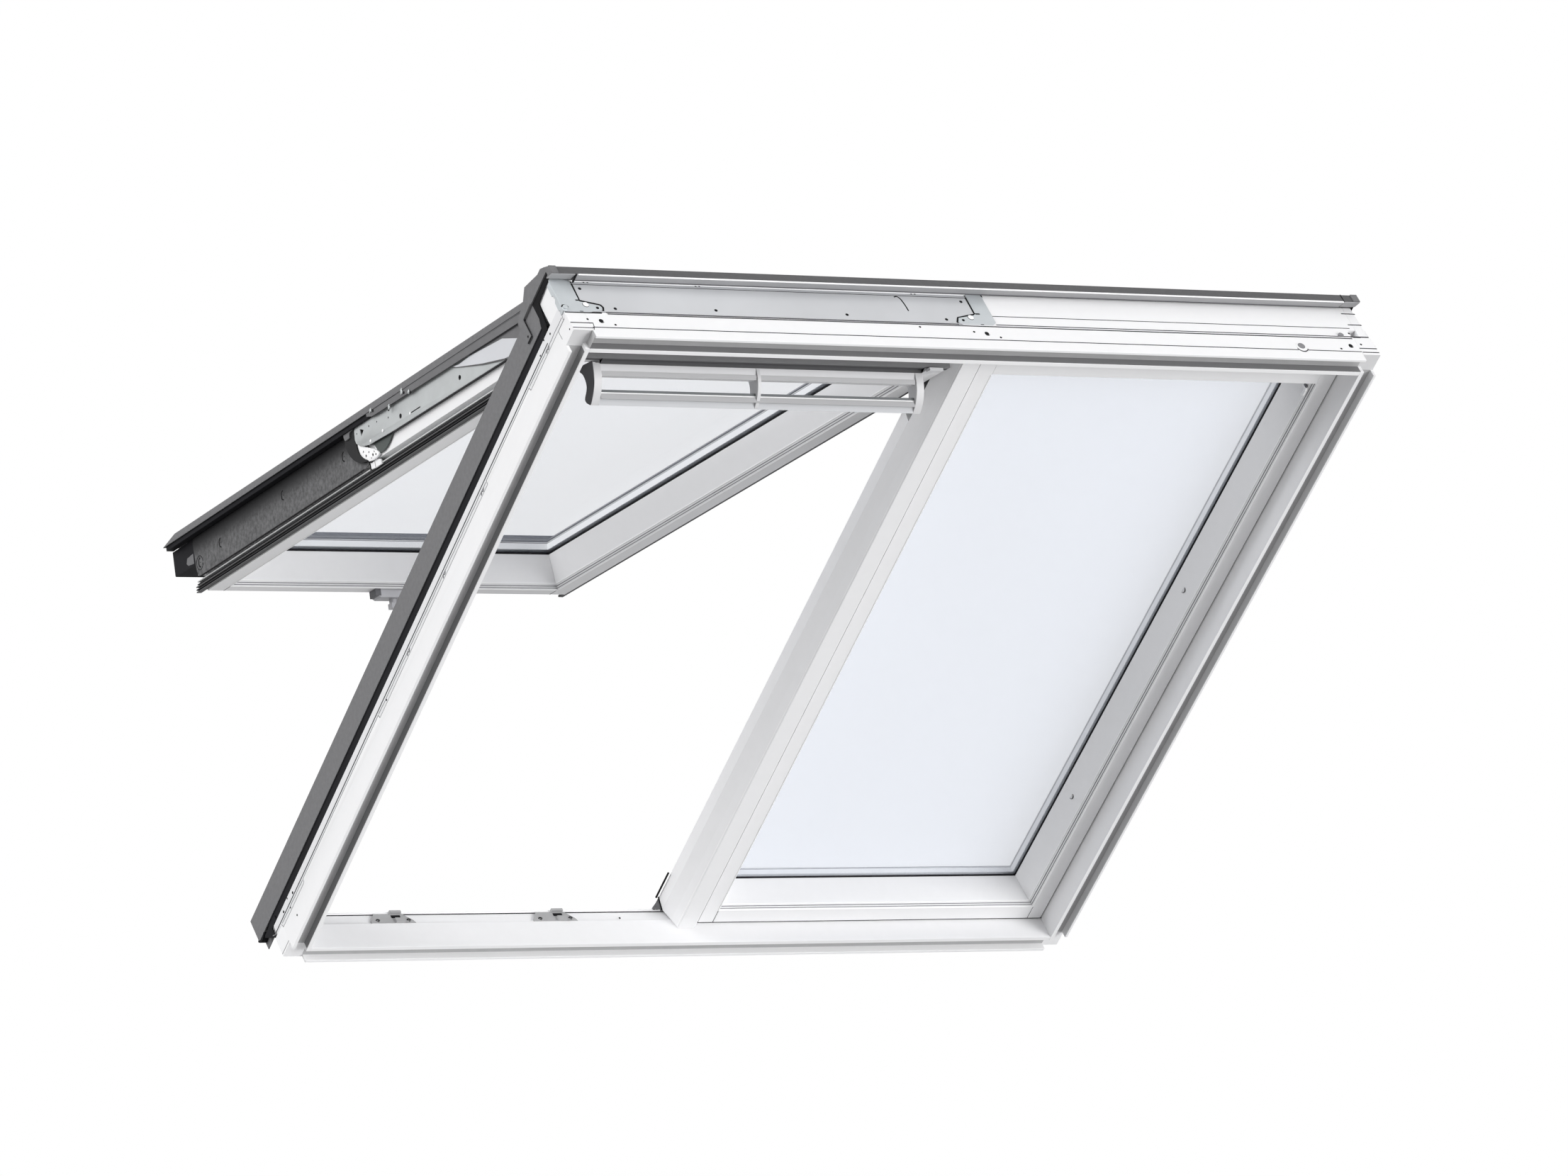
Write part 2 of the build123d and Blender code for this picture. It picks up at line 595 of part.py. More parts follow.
def bar_bracket(u0, width):
    """Crescent plate hanging from the vent flap's face down past the bar."""
    seat, toe = FACE_N - FLAP_BASE_T - N_ORIGIN, BRACKET_TOE_S
    near = ThreePointArc((-FLAP_FACE_S, seat), (-FLAP_FACE_S - 1, 12 - N_ORIGIN),
                         (-toe, BAR_BOTTOM_N - N_ORIGIN))
    foot = Line((-toe, BAR_BOTTOM_N - N_ORIGIN), (12 - toe, -9 - N_ORIGIN))
    far = ThreePointArc((12 - toe, -9 - N_ORIGIN), (3.5 - toe, 8 - N_ORIGIN), (17 - toe, seat))
    top = Line((17 - toe, seat), (-FLAP_FACE_S, seat))
    face = Plane.YZ.offset(u0) * make_face(near + foot + far + top)
    return extrude(face, amount=width, dir=(1, 0, 0))


def mid_bracket():
    """The middle crescent laps only the near half of the bar."""
    crescent = bar_bracket(BAR_BRACKET_M, MID_BRACKET_W)
    return crescent - block(BAR_BRACKET_M - 1, BAR_BRACKET_M + MID_BRACKET_W + 1, BAR_S0 - 8,
                            (BAR_S0 + BAR_S1) / 2, BAR_BOTTOM_N - 1, BAR_TOP_N + 1)


def build():
    frame = {
        "frame_sill": frame_sill(), "frame_head": frame_head(),
        "jamb_left": jamb_left(), "jamb_right": across(jamb_left()), "mullion": mullion(),
        "rail_left": rail_left(), "rail_right": across(rail_left()),
        "side_cladding_left": side_cladding_left(), "side_cladding_right": across(side_cladding_left()),
        "sill_apron": sill_apron(), "head_hood": head_hood(),
        "hood_side_left": hood_side_left(), "hood_side_right": across(hood_side_left()),
        "hinge_plate": hinge_plate(), "bracket_left": bracket_left(), "bracket_right": bracket_right(),
        "catch_left": catch(CATCH_L), "catch_right": catch(CATCH_R), "mullion_cover": mullion_cover(),
        "fixed_stile_left": fixed_stile_left(), "fixed_stile_right": fixed_stile_right(),
        "fixed_rail_top": fixed_rail_top(), "fixed_rail_bottom": fixed_rail_bottom(),
        "fixed_glass": fixed_glass(), "fixed_gasket": fixed_gasket(), "fixed_cover": fixed_cover(),
    }
    brackets = {
        "bar_bracket_left": bar_bracket(BAR_BRACKET_L, BRACKET_W),
        "bar_bracket_mid": mid_bracket(),
        "bar_bracket_right": bar_bracket(BAR_BRACKET_R, BRACKET_W),
    }
    hung = list(brackets.values())
    sash = {
        "sash_stile_left": sash_stile_left(), "sash_stile_right": sash_stile_right(),
        "sash_rail_top": sash_rail_top(), "sash_rail_bottom": sash_rail_bottom(),
        "sash_glass": sash_glass(), "sash_gasket": sash_gasket(), "sash_cover": sash_cover(),
        "sash_apron": sash_apron(), "side_board_left": side_board_left(),
        "side_board_right": side_board_right(), "lift_arm_left": lift_arm_left(),
        "lift_arm_right": lift_arm_right(), "sash_lock": sash_lock(),
        "vent_flap": vent_flap() - hung, "control_bar": control_bar() - hung[1], **brackets,
    }
    nodes = {name: installed(shape) for name, shape in frame.items()}
    for name, shape in sash.items():
        nodes[name] = installed(swung(shape))
    return nodes


os.makedirs("parts", exist_ok=True)
for name, shape in build().items():
    solids = shape.solids()
    print(name, len(solids), round(sum(s.volume for s in solids) / 1e9, 6))
    export_step(shape, "parts/" + name + ".step")
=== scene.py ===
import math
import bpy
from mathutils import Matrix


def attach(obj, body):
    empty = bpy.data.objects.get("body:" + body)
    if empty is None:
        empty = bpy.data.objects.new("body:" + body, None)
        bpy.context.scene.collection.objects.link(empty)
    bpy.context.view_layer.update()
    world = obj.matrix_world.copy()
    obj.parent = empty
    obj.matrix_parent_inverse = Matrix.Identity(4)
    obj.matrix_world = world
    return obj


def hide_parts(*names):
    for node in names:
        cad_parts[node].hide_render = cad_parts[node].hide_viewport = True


bl_info = {
    "name": "Roof window",
    "version": (1, 0, 0),
    "blender": (4, 5, 0),
    "location": "View3D > Sidebar > Roof window",
    "description": "Dresses a two-bay roof window with one open sash",
    "category": "Add Mesh",
}

import bmesh
import bpy
from mathutils import Vector

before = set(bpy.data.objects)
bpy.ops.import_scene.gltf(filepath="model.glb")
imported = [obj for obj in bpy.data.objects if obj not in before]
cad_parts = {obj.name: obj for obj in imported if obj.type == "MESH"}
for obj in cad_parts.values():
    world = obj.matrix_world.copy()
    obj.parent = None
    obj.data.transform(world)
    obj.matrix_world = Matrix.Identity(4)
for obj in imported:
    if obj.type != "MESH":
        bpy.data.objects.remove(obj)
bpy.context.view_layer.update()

# Lengths are in millimetres: u across, s up the slope from the sill, n outward from the room side

SLOPE = math.sqrt(0.5)
SWING = math.radians(30.0)
HINGE_S, HINGE_N = 1126.6, 93.0
SEAT_N = 30.0
HALF_W, HEIGHT = 637.0, 1178.0
RIM_U, RIM_S = HALF_W - 28.0, HEIGHT - 28.0
PLATE_S, STEP_S = HEIGHT - 1.0, HEIGHT - 2.0
SASH_SIDES_U = (-618.0, -12.0)
CREASE = math.radians(28)
SHEET_EDGE = 0.4
SIDES = ((-1, "left"), (1, "right"))


def at(u, s, n):
    """Place of a point on the fixed frame."""
    n -= SEAT_N
    return Vector((u, (n - s) * SLOPE, (n + s) * SLOPE)) / 1000.0


def opened(u, s, n):
    """Place of a point on the sash, given where it is with the sash closed."""
    a, b = s - HINGE_S, n - HINGE_N
    cos, sin = math.cos(SWING), math.sin(SWING)
    return at(u, HINGE_S + a * cos + b * sin, HINGE_N - a * sin + b * cos)


SASH_OUT = opened(0, 0, 1001) - opened(0, 0, 1)


def level(n):
    """How far along the open sash's outward direction a closed-sash height n lies."""
    return opened(0, 0, n).dot(SASH_OUT)


# Closed solids. Each function returns a list of them, and each solid is its two end rings of corners

def prism(outline, low, high, along, place):
    """Outline drawn out between two ends. along is the axis, u, s or n, that the outline lacks."""
    rings = []
    for end in (low, high):
        ring = []
        for a, b in outline:
            spot = {"u": (end, a, b), "s": (a, end, b), "n": (a, b, end)}[along]
            ring.append(place(*spot))
        rings.append(ring)
    return [rings]


def slab(u0, u1, s0, s1, n0, n1, place):
    return prism([(s0, n0), (s1, n0), (s1, n1), (s0, n1)], u0, u1, "u", place)


def slabs(bars, n0, n1, place):
    """Blocks of one thickness, each bar being (u0, u1, s0, s1)."""
    return [solid for bar in bars for solid in slab(*bar, n0, n1, place)]


def disc(a, b, radius, low, high, along, place, steps=20):
    return prism(circle(a, b, radius, steps), low, high, along, place)


def discs(spots, low, high, along, place, steps=20):
    """Discs of one thickness, each spot being its centre and radius."""
    return [solid for spot in spots for solid in disc(*spot, low, high, along, place, steps)]


def trace(points, width, low, high, along, place):
    """Narrow strip that follows a line of points, as a row of short prisms."""
    row = []
    for (a0, b0), (a1, b1) in zip(points, points[1:]):
        da, db = a1 - a0, b1 - b0
        reach = math.hypot(da, db)
        na, nb = -db / reach * width / 2, da / reach * width / 2
        corners = [(a0 + na, b0 + nb), (a0 - na, b0 - nb), (a1 - na, b1 - nb), (a1 + na, b1 + nb)]
        row += prism(corners, low, high, along, place)
    return row


def funnel(low, high, place):
    """Block between a rectangle (u0, u1, s0, s1, n) and a second one further out."""
    rings = []
    for u0, u1, s0, s1, n in (low, high):
        rings.append([place(u, s, n) for u, s in ((u0, s0), (u1, s0), (u1, s1), (u0, s1))])
    return [rings]


# Outlines and ranges

def circle(a, b, radius, steps=20, start=0.0, sweep=360.0):
    """Points round a centre, anticlockwise."""
    whole = abs(sweep - 360.0) < 0.01
    last = steps if whole else steps - 1
    turn = [math.radians(start + sweep * i / last) for i in range(steps)]
    return [(a + radius * math.cos(t), b + radius * math.sin(t)) for t in turn]


def bend(points, steps=6):
    """A smooth line through the given points."""
    out = []
    for i in range(len(points) - 1):
        p0, p1 = points[max(i - 1, 0)], points[i]
        p2, p3 = points[i + 1], points[min(i + 2, len(points) - 1)]
        for k in range(steps):
            t = k / steps
            out.append(tuple(
                0.5 * (2 * b + (c - a) * t + (2 * a - 5 * b + 4 * c - d) * t * t
                       + (3 * b - a - 3 * c + d) * t ** 3)
                for a, b, c, d in zip(p0, p1, p2, p3)))
    return out + [points[-1]]


def hollow(outer, inner):
    """Flat ring between two rectangles (a0, a1, b0, b1), as four bars."""
    a0, a1, b0, b1 = outer
    c0, c1, d0, d1 = inner
    return [(a0, a1, b0, d0), (a0, a1, d1, b1), (a0, c0, d0, d1), (c1, a1, d0, d1)]


def span(side, a, b):
    """Two ends across the frame's left (-1) or right (1) side, with the axis and place that prism takes."""
    return (*sorted((side * a, side * b)), "u", at)


def wave(s0, s1, step=14.0):
    """Points of the slightly waved line along a rail."""
    points = [(s0 + 1, 47.2)]
    s = s0 + step
    while s < s1 - 4:
        points.append((s, 46.6 + (0.35 if int((s - s0) / step) % 2 else -0.2)))
        s += step
    return points + [(s1 - 1, 46.6)]


# Pieces

def solid_mesh(groups):
    """Mesh code of groups of closed solids."""
    bm = bmesh.new()
    for low, high in (solid for group in groups for solid in group):
        rings = [[bm.verts.new(corner) for corner in ring] for ring in (low, high)]
        bm.faces.new(rings[0])
        bm.faces.new(rings[1][::-1])
        for i in range(len(low)):
            j = (i + 1) % len(low)
            bm.faces.new((rings[0][j], rings[0][i], rings[1][i], rings[1][j]))
    return bm


def loose_object(bm, name):
    """Object with the mesh code's mesh, faces turned outward."""
    bmesh.ops.recalc_face_normals(bm, faces=bm.faces)
    mesh = bpy.data.meshes.new(name)
    bm.to_mesh(mesh)
    bm.free()
    item = bpy.data.objects.new(name, mesh)
    bpy.context.scene.collection.objects.link(item)
    return item


def finish_mesh(bm, name, material, soft):
    """Turn mesh code into a shown piece on the window's one body."""
    piece = loose_object(bm, name)
    piece.data.materials.append(FINISHES[material])
    soften(piece, soft)
    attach(piece, "root")
    return piece


def show(name, material, slot, *groups, soft=0.0):
    """Show groups of closed solids as one piece, its edges rounded by soft."""
    return finish_mesh(solid_mesh(groups), name, material, soft)


def softened(node, suffix, material, soft):
    """The node's own form as a shown piece with slightly rounded edges, in the node's place."""
    bm = bmesh.new()
    bm.from_mesh(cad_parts[node].data)
    bmesh.ops.remove_doubles(bm, verts=bm.verts, dist=2e-6)
    bmesh.ops.dissolve_limit(bm, angle_limit=math.radians(0.6), verts=bm.verts, edges=bm.edges)
    piece = finish_mesh(bm, node + suffix, material, soft)
    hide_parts(node)
    return piece


def smooth(mesh):
    """Shade a mesh smooth between its sharp edges."""
    for face in mesh.polygons:
        face.use_smooth = True
    mesh.set_sharp_from_angle(angle=CREASE)


def soften(piece, width):
    """Round the sharp edges of a piece a little, and shade it smooth between them."""
    smooth(piece.data)
    if width:
        edge = piece.modifiers.new("soft edges", "BEVEL")
        edge.width = width / 1000.0
        edge.segments = 2
        edge.limit_method = "ANGLE"
        edge.angle_limit = CREASE
        edge.harden_normals = True
        edge.miter_outer = "MITER_ARC"


def cut(piece, *groups):
    """Take groups of closed solids out of a piece."""
    tool = loose_object(solid_mesh(groups), "cutter")
    hole = piece.modifiers.new("holes", "BOOLEAN")
    hole.object = tool
    hole.solver = "EXACT"
    bpy.context.view_layer.update()
    shaped = bpy.data.meshes.new_from_object(piece.evaluated_get(bpy.context.evaluated_depsgraph_get()))
    piece.modifiers.clear()
    piece.data = shaped
    bpy.data.objects.remove(tool)
    smooth(shaped)


# Finishes

FINISHES = {}


def shader_node(tree, kind, x, y, **values):
    node = tree.nodes.new(kind)
    node.location = (x, y)
    for key, value in values.items():
        if key in node.inputs:
            node.inputs[key].default_value = value
        else:
            setattr(node, key, value)
    return node


def surface(key, colour, rough, metal=0.0, mottle=0.03, mottle_size=60.0, rough_spread=0.08,
            grain=0.0, grain_size=900.0, alpha=1.0, fade=None, gloss=0.5):
    """A Principled finish whose colour and roughness wander a little and whose surface has a fine grain.

    fade is (direction, from, to, end colour): the colour turns into the end colour along that direction.
    """
    material = bpy.data.materials.new(key)
    material.use_nodes = True
    tree = material.node_tree
    link = tree.links.new
    shade = tree.nodes["Principled BSDF"]
    shade.inputs["Metallic"].default_value = metal
    shade.inputs["Specular IOR Level"].default_value = gloss
    shade.inputs["Alpha"].default_value = alpha
    place = shader_node(tree, "ShaderNodeTexCoord", -1100, 0)
    cloud = shader_node(tree, "ShaderNodeTexNoise", -720, 120, Scale=mottle_size, Detail=4.0, Roughness=0.6)
    link(place.outputs["Object"], cloud.inputs["Vector"])
    ramp = shader_node(tree, "ShaderNodeValToRGB", -520, 160)
    dark, pale = ramp.color_ramp.elements
    dark.position = 0.3
    pale.position = 0.7
    dark.color = [max(c * (1 - mottle), 0.0) for c in colour[:3]] + [1.0]
    pale.color = [min(c * (1 + mottle), 1.0) for c in colour[:3]] + [1.0]
    link(cloud.outputs["Fac"], ramp.inputs["Fac"])
    tint = ramp.outputs["Color"]
    if fade:
        along, start, stop, end = fade
        reach = shader_node(tree, "ShaderNodeVectorMath", -720, 420, operation="DOT_PRODUCT")
        reach.inputs[1].default_value = along
        link(place.outputs["Object"], reach.inputs[0])
        part = shader_node(tree, "ShaderNodeMapRange", -520, 420)
        part.interpolation_type = "SMOOTHSTEP"
        part.inputs["From Min"].default_value = start
        part.inputs["From Max"].default_value = stop
        link(reach.outputs["Value"], part.inputs["Value"])
        blend = shader_node(tree, "ShaderNodeMix", -260, 260, data_type="RGBA")
        blend.inputs[7].default_value = tuple(end[:3]) + (1.0,)
        link(part.outputs["Result"], blend.inputs[0])
        link(tint, blend.inputs[6])
        tint = blend.outputs[2]
    link(tint, shade.inputs["Base Color"])
    spread = shader_node(tree, "ShaderNodeMapRange", -520, -80)
    spread.inputs["To Min"].default_value = max(rough - rough_spread, 0.02)
    spread.inputs["To Max"].default_value = min(rough + rough_spread, 1.0)
    link(cloud.outputs["Fac"], spread.inputs["Value"])
    link(spread.outputs["Result"], shade.inputs["Roughness"])
    if grain:
        fine = shader_node(tree, "ShaderNodeTexNoise", -720, -300, Scale=grain_size, Detail=3.0)
        link(place.outputs["Object"], fine.inputs["Vector"])
        bump = shader_node(tree, "ShaderNodeBump", -300, -300, Strength=grain, Distance=0.0004)
        link(fine.outputs["Fac"], bump.inputs["Height"])
        link(bump.outputs["Normal"], shade.inputs["Normal"])
    FINISHES[key] = material


class WindowColours(bpy.types.PropertyGroup):
    """Colours that a user would change."""

    lacquer: bpy.props.FloatVectorProperty(
        name="Lacquer", description="Painted timber of frame and sashes", subtype="COLOR",
        size=3, min=0, max=1, default=(0.83, 0.83, 0.84))
    cladding: bpy.props.FloatVectorProperty(
        name="Cladding", description="Outer sheet covers", subtype="COLOR",
        size=3, min=0, max=1, default=(0.155, 0.155, 0.16))
    board: bpy.props.FloatVectorProperty(
        name="Side board", description="Dark sheet on the sash's sides", subtype="COLOR",
        size=3, min=0, max=1, default=(0.105, 0.105, 0.108))
    glass: bpy.props.FloatVectorProperty(
        name="Glass", description="Tint of the panes", subtype="COLOR",
        size=3, min=0, max=1, default=(0.80, 0.86, 0.99))
    metal: bpy.props.FloatVectorProperty(
        name="Sheet metal", description="Hinge plate and brackets", subtype="COLOR",
        size=3, min=0, max=1, default=(0.58, 0.59, 0.61))


class WindowSizes(bpy.types.PropertyGroup):
    """Sizes and light levels that a user would change."""

    soft_edge: bpy.props.FloatProperty(
        name="Soft edge", description="Rounding of the lacquered edges", subtype="DISTANCE",
        default=0.0006, min=0, max=0.003)
    glass_alpha: bpy.props.FloatProperty(
        name="Glass cover", description="How much of the view the tint covers", subtype="FACTOR",
        default=0.155, min=0, max=1)
    ambient: bpy.props.FloatProperty(
        name="Room light", description="Level of the even light around the window",
        default=0.08, min=0, max=3)
    left_light: bpy.props.FloatProperty(
        name="Left lamp", description="Level of the broad lamp from the left", default=0.85, min=0, max=10)
    side_light: bpy.props.FloatProperty(
        name="Side lamp", description="Level of the broad lamp from the far left", default=1.4, min=0, max=10)
    head_light: bpy.props.FloatProperty(
        name="Head lamp", description="Level of the broad lamp above the head", default=0.75, min=0, max=10)
    high_light: bpy.props.FloatProperty(
        name="High lamp", description="Level of the broad lamp from the upper left",
        default=0.6, min=0, max=10)
    right_light: bpy.props.FloatProperty(
        name="Right lamp", description="Level of the broad lamp from the right front",
        default=2.6, min=0, max=10)
    floor_level: bpy.props.FloatProperty(
        name="Floor level", description="Height of the floor below the window", subtype="DISTANCE",
        default=-0.45, min=-3, max=0)


def sizes():
    return bpy.context.scene.window_sizes


TIMBER = (
    "frame_sill", "frame_head", "jamb_left", "jamb_right", "mullion", "fixed_stile_left",
    "fixed_stile_right", "fixed_rail_top", "fixed_rail_bottom", "sash_stile_left", "sash_stile_right",
    "sash_rail_top", "sash_rail_bottom")
NODE_FINISHES = (
    ("lacquer", TIMBER),
    ("rail", ("rail_left", "rail_right")),
    ("cladding", ("side_cladding_left", "side_cladding_right", "head_hood", "hood_side_left",
                  "hood_side_right", "mullion_cover", "fixed_cover", "sash_cover")),
    ("black_rubber_and_shade", ("sill_apron", "sash_apron", "fixed_gasket", "sash_gasket")),
    ("plate", ("hinge_plate",)),
    ("bracket", ("bracket_left", "bracket_right", "lift_arm_left", "lift_arm_right", "catch_left",
                 "catch_right")),
    ("board", ("side_board_left", "side_board_right")),
    ("glass", ("fixed_glass",)),
    ("glass_open", ("sash_glass",)),
    ("lock", ("sash_lock",)),
    ("flap", ("vent_flap", "bar_bracket_left", "bar_bracket_mid", "bar_bracket_right")),
    ("bar", ("control_bar",)))


class WINDOW_OT_finishes(bpy.types.Operator):
    """Make the finishes of every piece"""

    bl_idname = "roof_window.finishes"
    bl_label = "Finishes"

    def execute(self, context):
        c = context.scene.window_colours
        sheet = {"mottle_size": 160, "grain": 0.25, "grain_size": 1500}
        pane = {"mottle": 0.01, "mottle_size": 3, "rough_spread": 0.01}
        surface("lacquer", c.lacquer, 0.45, mottle=0.008, grain=0.05, grain_size=700, gloss=0.3)
        # a whiter copy of the lacquer: painted highlight on the sill lip, the mullion side and the moulding
        # crests, also used for the glazing clip
        surface("strip", (0.95, 0.95, 0.955), 0.45, mottle=0.005, gloss=0.3)
        # grey for the floor of the head's corner notches: painted shade
        surface("notch", (0.66, 0.66, 0.67), 0.5, mottle=0.01, gloss=0.3)
        surface("rail", (0.74, 0.74, 0.755), 0.4, metal=0.2, mottle=0.02, grain=0.06)
        surface("cladding", c.cladding, 0.6, mottle=0.10, gloss=0.3, **sheet)
        # a darker copy of the cladding for the hood's sheet: painted shade
        surface("hood", [0.62 * v for v in c.cladding], 0.6, mottle=0.08, gloss=0.2, **sheet)
        # black of the aprons and gaskets, also the black fill that paints the shade in the gap beside the side
        # claddings
        surface("black_rubber_and_shade", (0.010, 0.010, 0.012), 0.6, mottle=0.2, grain=0.1, gloss=0.08)
        surface("plate", c.metal, 0.36, metal=0.5, mottle=0.09, mottle_size=3, grain=0.05)
        surface("bracket", (0.52, 0.55, 0.57), 0.42, metal=0.4, mottle=0.04, mottle_size=30, grain=0.08)
        # pale silver of pins, rivets and the pivot drum, and painted highlights on edges of the hood, hinge
        # plate and control bar
        surface("silver_and_painted_highlight", (0.92, 0.92, 0.93), 0.45, mottle=0.01)
        # pale grey for the hood's underside: painted reflection of the bright surroundings
        surface("underside_reflection", (0.36, 0.36, 0.37), 0.55, mottle=0.02, mottle_size=12)
        surface("joint", (0.06, 0.06, 0.063), 0.7, mottle=0.1, gloss=0.1)
        # greys of painted shade in the rim's groove, the darker one on the inner lip's side
        surface("groove", (0.44, 0.44, 0.445), 0.6, mottle=0.03, gloss=0.2)
        surface("groove_side", (0.20, 0.20, 0.205), 0.6, mottle=0.03, gloss=0.2)
        # painted shade on the crescent bracket's side
        surface("crescent_side_shade", (0.085, 0.085, 0.09), 0.5, mottle=0.05, gloss=0.2)
        surface("shadow", (0.016, 0.016, 0.017), 0.8, mottle=0.2, gloss=0.05)
        surface("plug", (0.20, 0.20, 0.21), 0.6, mottle=0.1)
        surface("plug_pale", (0.62, 0.62, 0.63), 0.5, mottle=0.02)
        # the board turns almost black towards the cover: painted shadow under the cover's overhang
        surface("board", c.board, 0.6, mottle=0.45, mottle_size=170, grain=0.3, grain_size=1200, gloss=0.2,
                fade=(SASH_OUT, level(74), level(106), (0.006, 0.006, 0.007)))
        # near black of the sealant lines and seals, also the painted shadow behind the lift arm
        surface("dark_seal_and_shade", (0.022, 0.022, 0.024), 0.5, mottle=0.15, grain=0.1, gloss=0.12)
        surface("fin", (0.55, 0.56, 0.56), 0.5, mottle=0.05)
        surface("fin_dark", (0.09, 0.09, 0.092), 0.5, mottle=0.1, gloss=0.2)
        surface("arm", (0.50, 0.52, 0.525), 0.38, metal=0.5, mottle=0.05, mottle_size=40, grain=0.08)
        surface("upper_plate", (0.62, 0.63, 0.66), 0.4, metal=0.3, mottle=0.02, mottle_size=12)
        surface("ledge", (0.13, 0.13, 0.135), 0.5, metal=0.2, mottle=0.08, mottle_size=60)
        surface("ledge_dark", (0.07, 0.07, 0.072), 0.5, mottle=0.08)
        surface("housing", (0.012, 0.012, 0.013), 0.5, mottle=0.15, grain=0.1, gloss=0.15)
        surface("lobe", (0.035, 0.045, 0.042), 0.4, mottle=0.15)
        # near white for the spacers: painted reflection of the bright surroundings on the metal
        surface("spacer", (0.96, 0.97, 0.98), 0.45, mottle=0.01, gloss=0.3)
        surface("lock", (0.45, 0.45, 0.47), 0.35, metal=0.3, mottle=0.03)
        surface("lock_dark", (0.11, 0.11, 0.12), 0.5, mottle=0.05)
        surface("catch", (0.38, 0.38, 0.385), 0.45, mottle=0.04, gloss=0.3)
        surface("flap", (0.66, 0.66, 0.675), 0.4, mottle=0.01)
        # mid grey for painted shade bands on the flap's lower curve and the bar's lower face
        surface("painted_shade_band", (0.40, 0.40, 0.41), 0.45, mottle=0.01)
        surface("flap_shade", (0.10, 0.10, 0.105), 0.6, mottle=0.03, gloss=0.2)
        surface("rail_shade", (0.20, 0.20, 0.205), 0.6, mottle=0.03)
        surface("crescent", (0.62, 0.62, 0.63), 0.4, mottle=0.01)
        surface("bar", (0.52, 0.53, 0.55), 0.45, mottle=0.01, gloss=0.3)
        surface("bar_slot", (0.12, 0.13, 0.135), 0.5, mottle=0.03)
        surface("glass", c.glass, 0.05, alpha=sizes().glass_alpha, **pane)
        # lighter copy of the glass for the open sash, whose panes face down into shade: painted light
        surface("glass_open", c.glass, 0.05, alpha=0.7 * sizes().glass_alpha, **pane)
        for key, nodes in NODE_FINISHES:
            for node in nodes:
                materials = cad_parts[node].data.materials
                materials.clear()
                materials.append(FINISHES[key])
        return {"FINISHED"}


class WINDOW_OT_timber(bpy.types.Operator):
    """Round the edges of the lacquered frame and sash members"""

    bl_idname = "roof_window.timber"
    bl_label = "Timber members"

    def execute(self, context):
        for node in TIMBER:
            softened(node, "_lacquered", "lacquer", sizes().soft_edge * 1000.0)
        show("mullion_shoulder", "lacquer", "white",
             prism([(-22.3, 64), (-18.2, 89.8), (-4, 89.8), (-4, 64)], 29.2, 985, "s", at), soft=0.5)
        # painted shade in the groove that runs round the room-side rim, on the floor first and then, darker,
        # on the inner lip's side
        floor = [(-633, -614.5, 28, RIM_S), (614.5, 633, 28, RIM_S), (-RIM_U, RIM_U, 4, 22.5),
                 (-RIM_U, RIM_U, 1155.5, 1174)]
        show("rim_groove_floor", "groove", "white", slabs(floor, 11.6, 12.1, at))
        walls = [(-614.8, -614.4, 28, RIM_S), (614.4, 614.8, 28, RIM_S), (-RIM_U, RIM_U, 22.2, 22.6),
                 (-RIM_U, RIM_U, 1155.4, 1155.8)]
        show("rim_groove_side", "groove_side", "white", slabs(walls, 0.6, 11.9, at))
        # painted highlights: a whiter face on the sill's outer lip, a strip on the mullion's side and a thin
        # one along the sill in the open bay
        show("rim_and_mullion_highlights", "strip", "white",
             slab(-RIM_U, RIM_U, 3.9, 4.2, 0.4, 11.5, at),
             slab(-12.35, -11.9, 30.5, 1148, 31.0, 50.0, at),
             slab(-RIM_U, -26, 27.8, 29.1, 63.9, 66.8, at))
        show("mullion_line", "catch", "catch", slab(-12.5, -11.9, 30.5, 1148, 50.4, 52.0, at))
        # painted shade on the floor and the inner side of the head's corner notches
        show("corner_notches", "notch", "white", *[
            slab(*span(side, 636.8, 609.2)[:2], 1150.2, 1177.8, 11.7, 12.1, at) for side, end in SIDES])
        show("corner_notch_side", "groove", "white", slab(-609.3, -608.9, 1155.8, 1177.6, 0.6, 11.6, at))
        return {"FINISHED"}


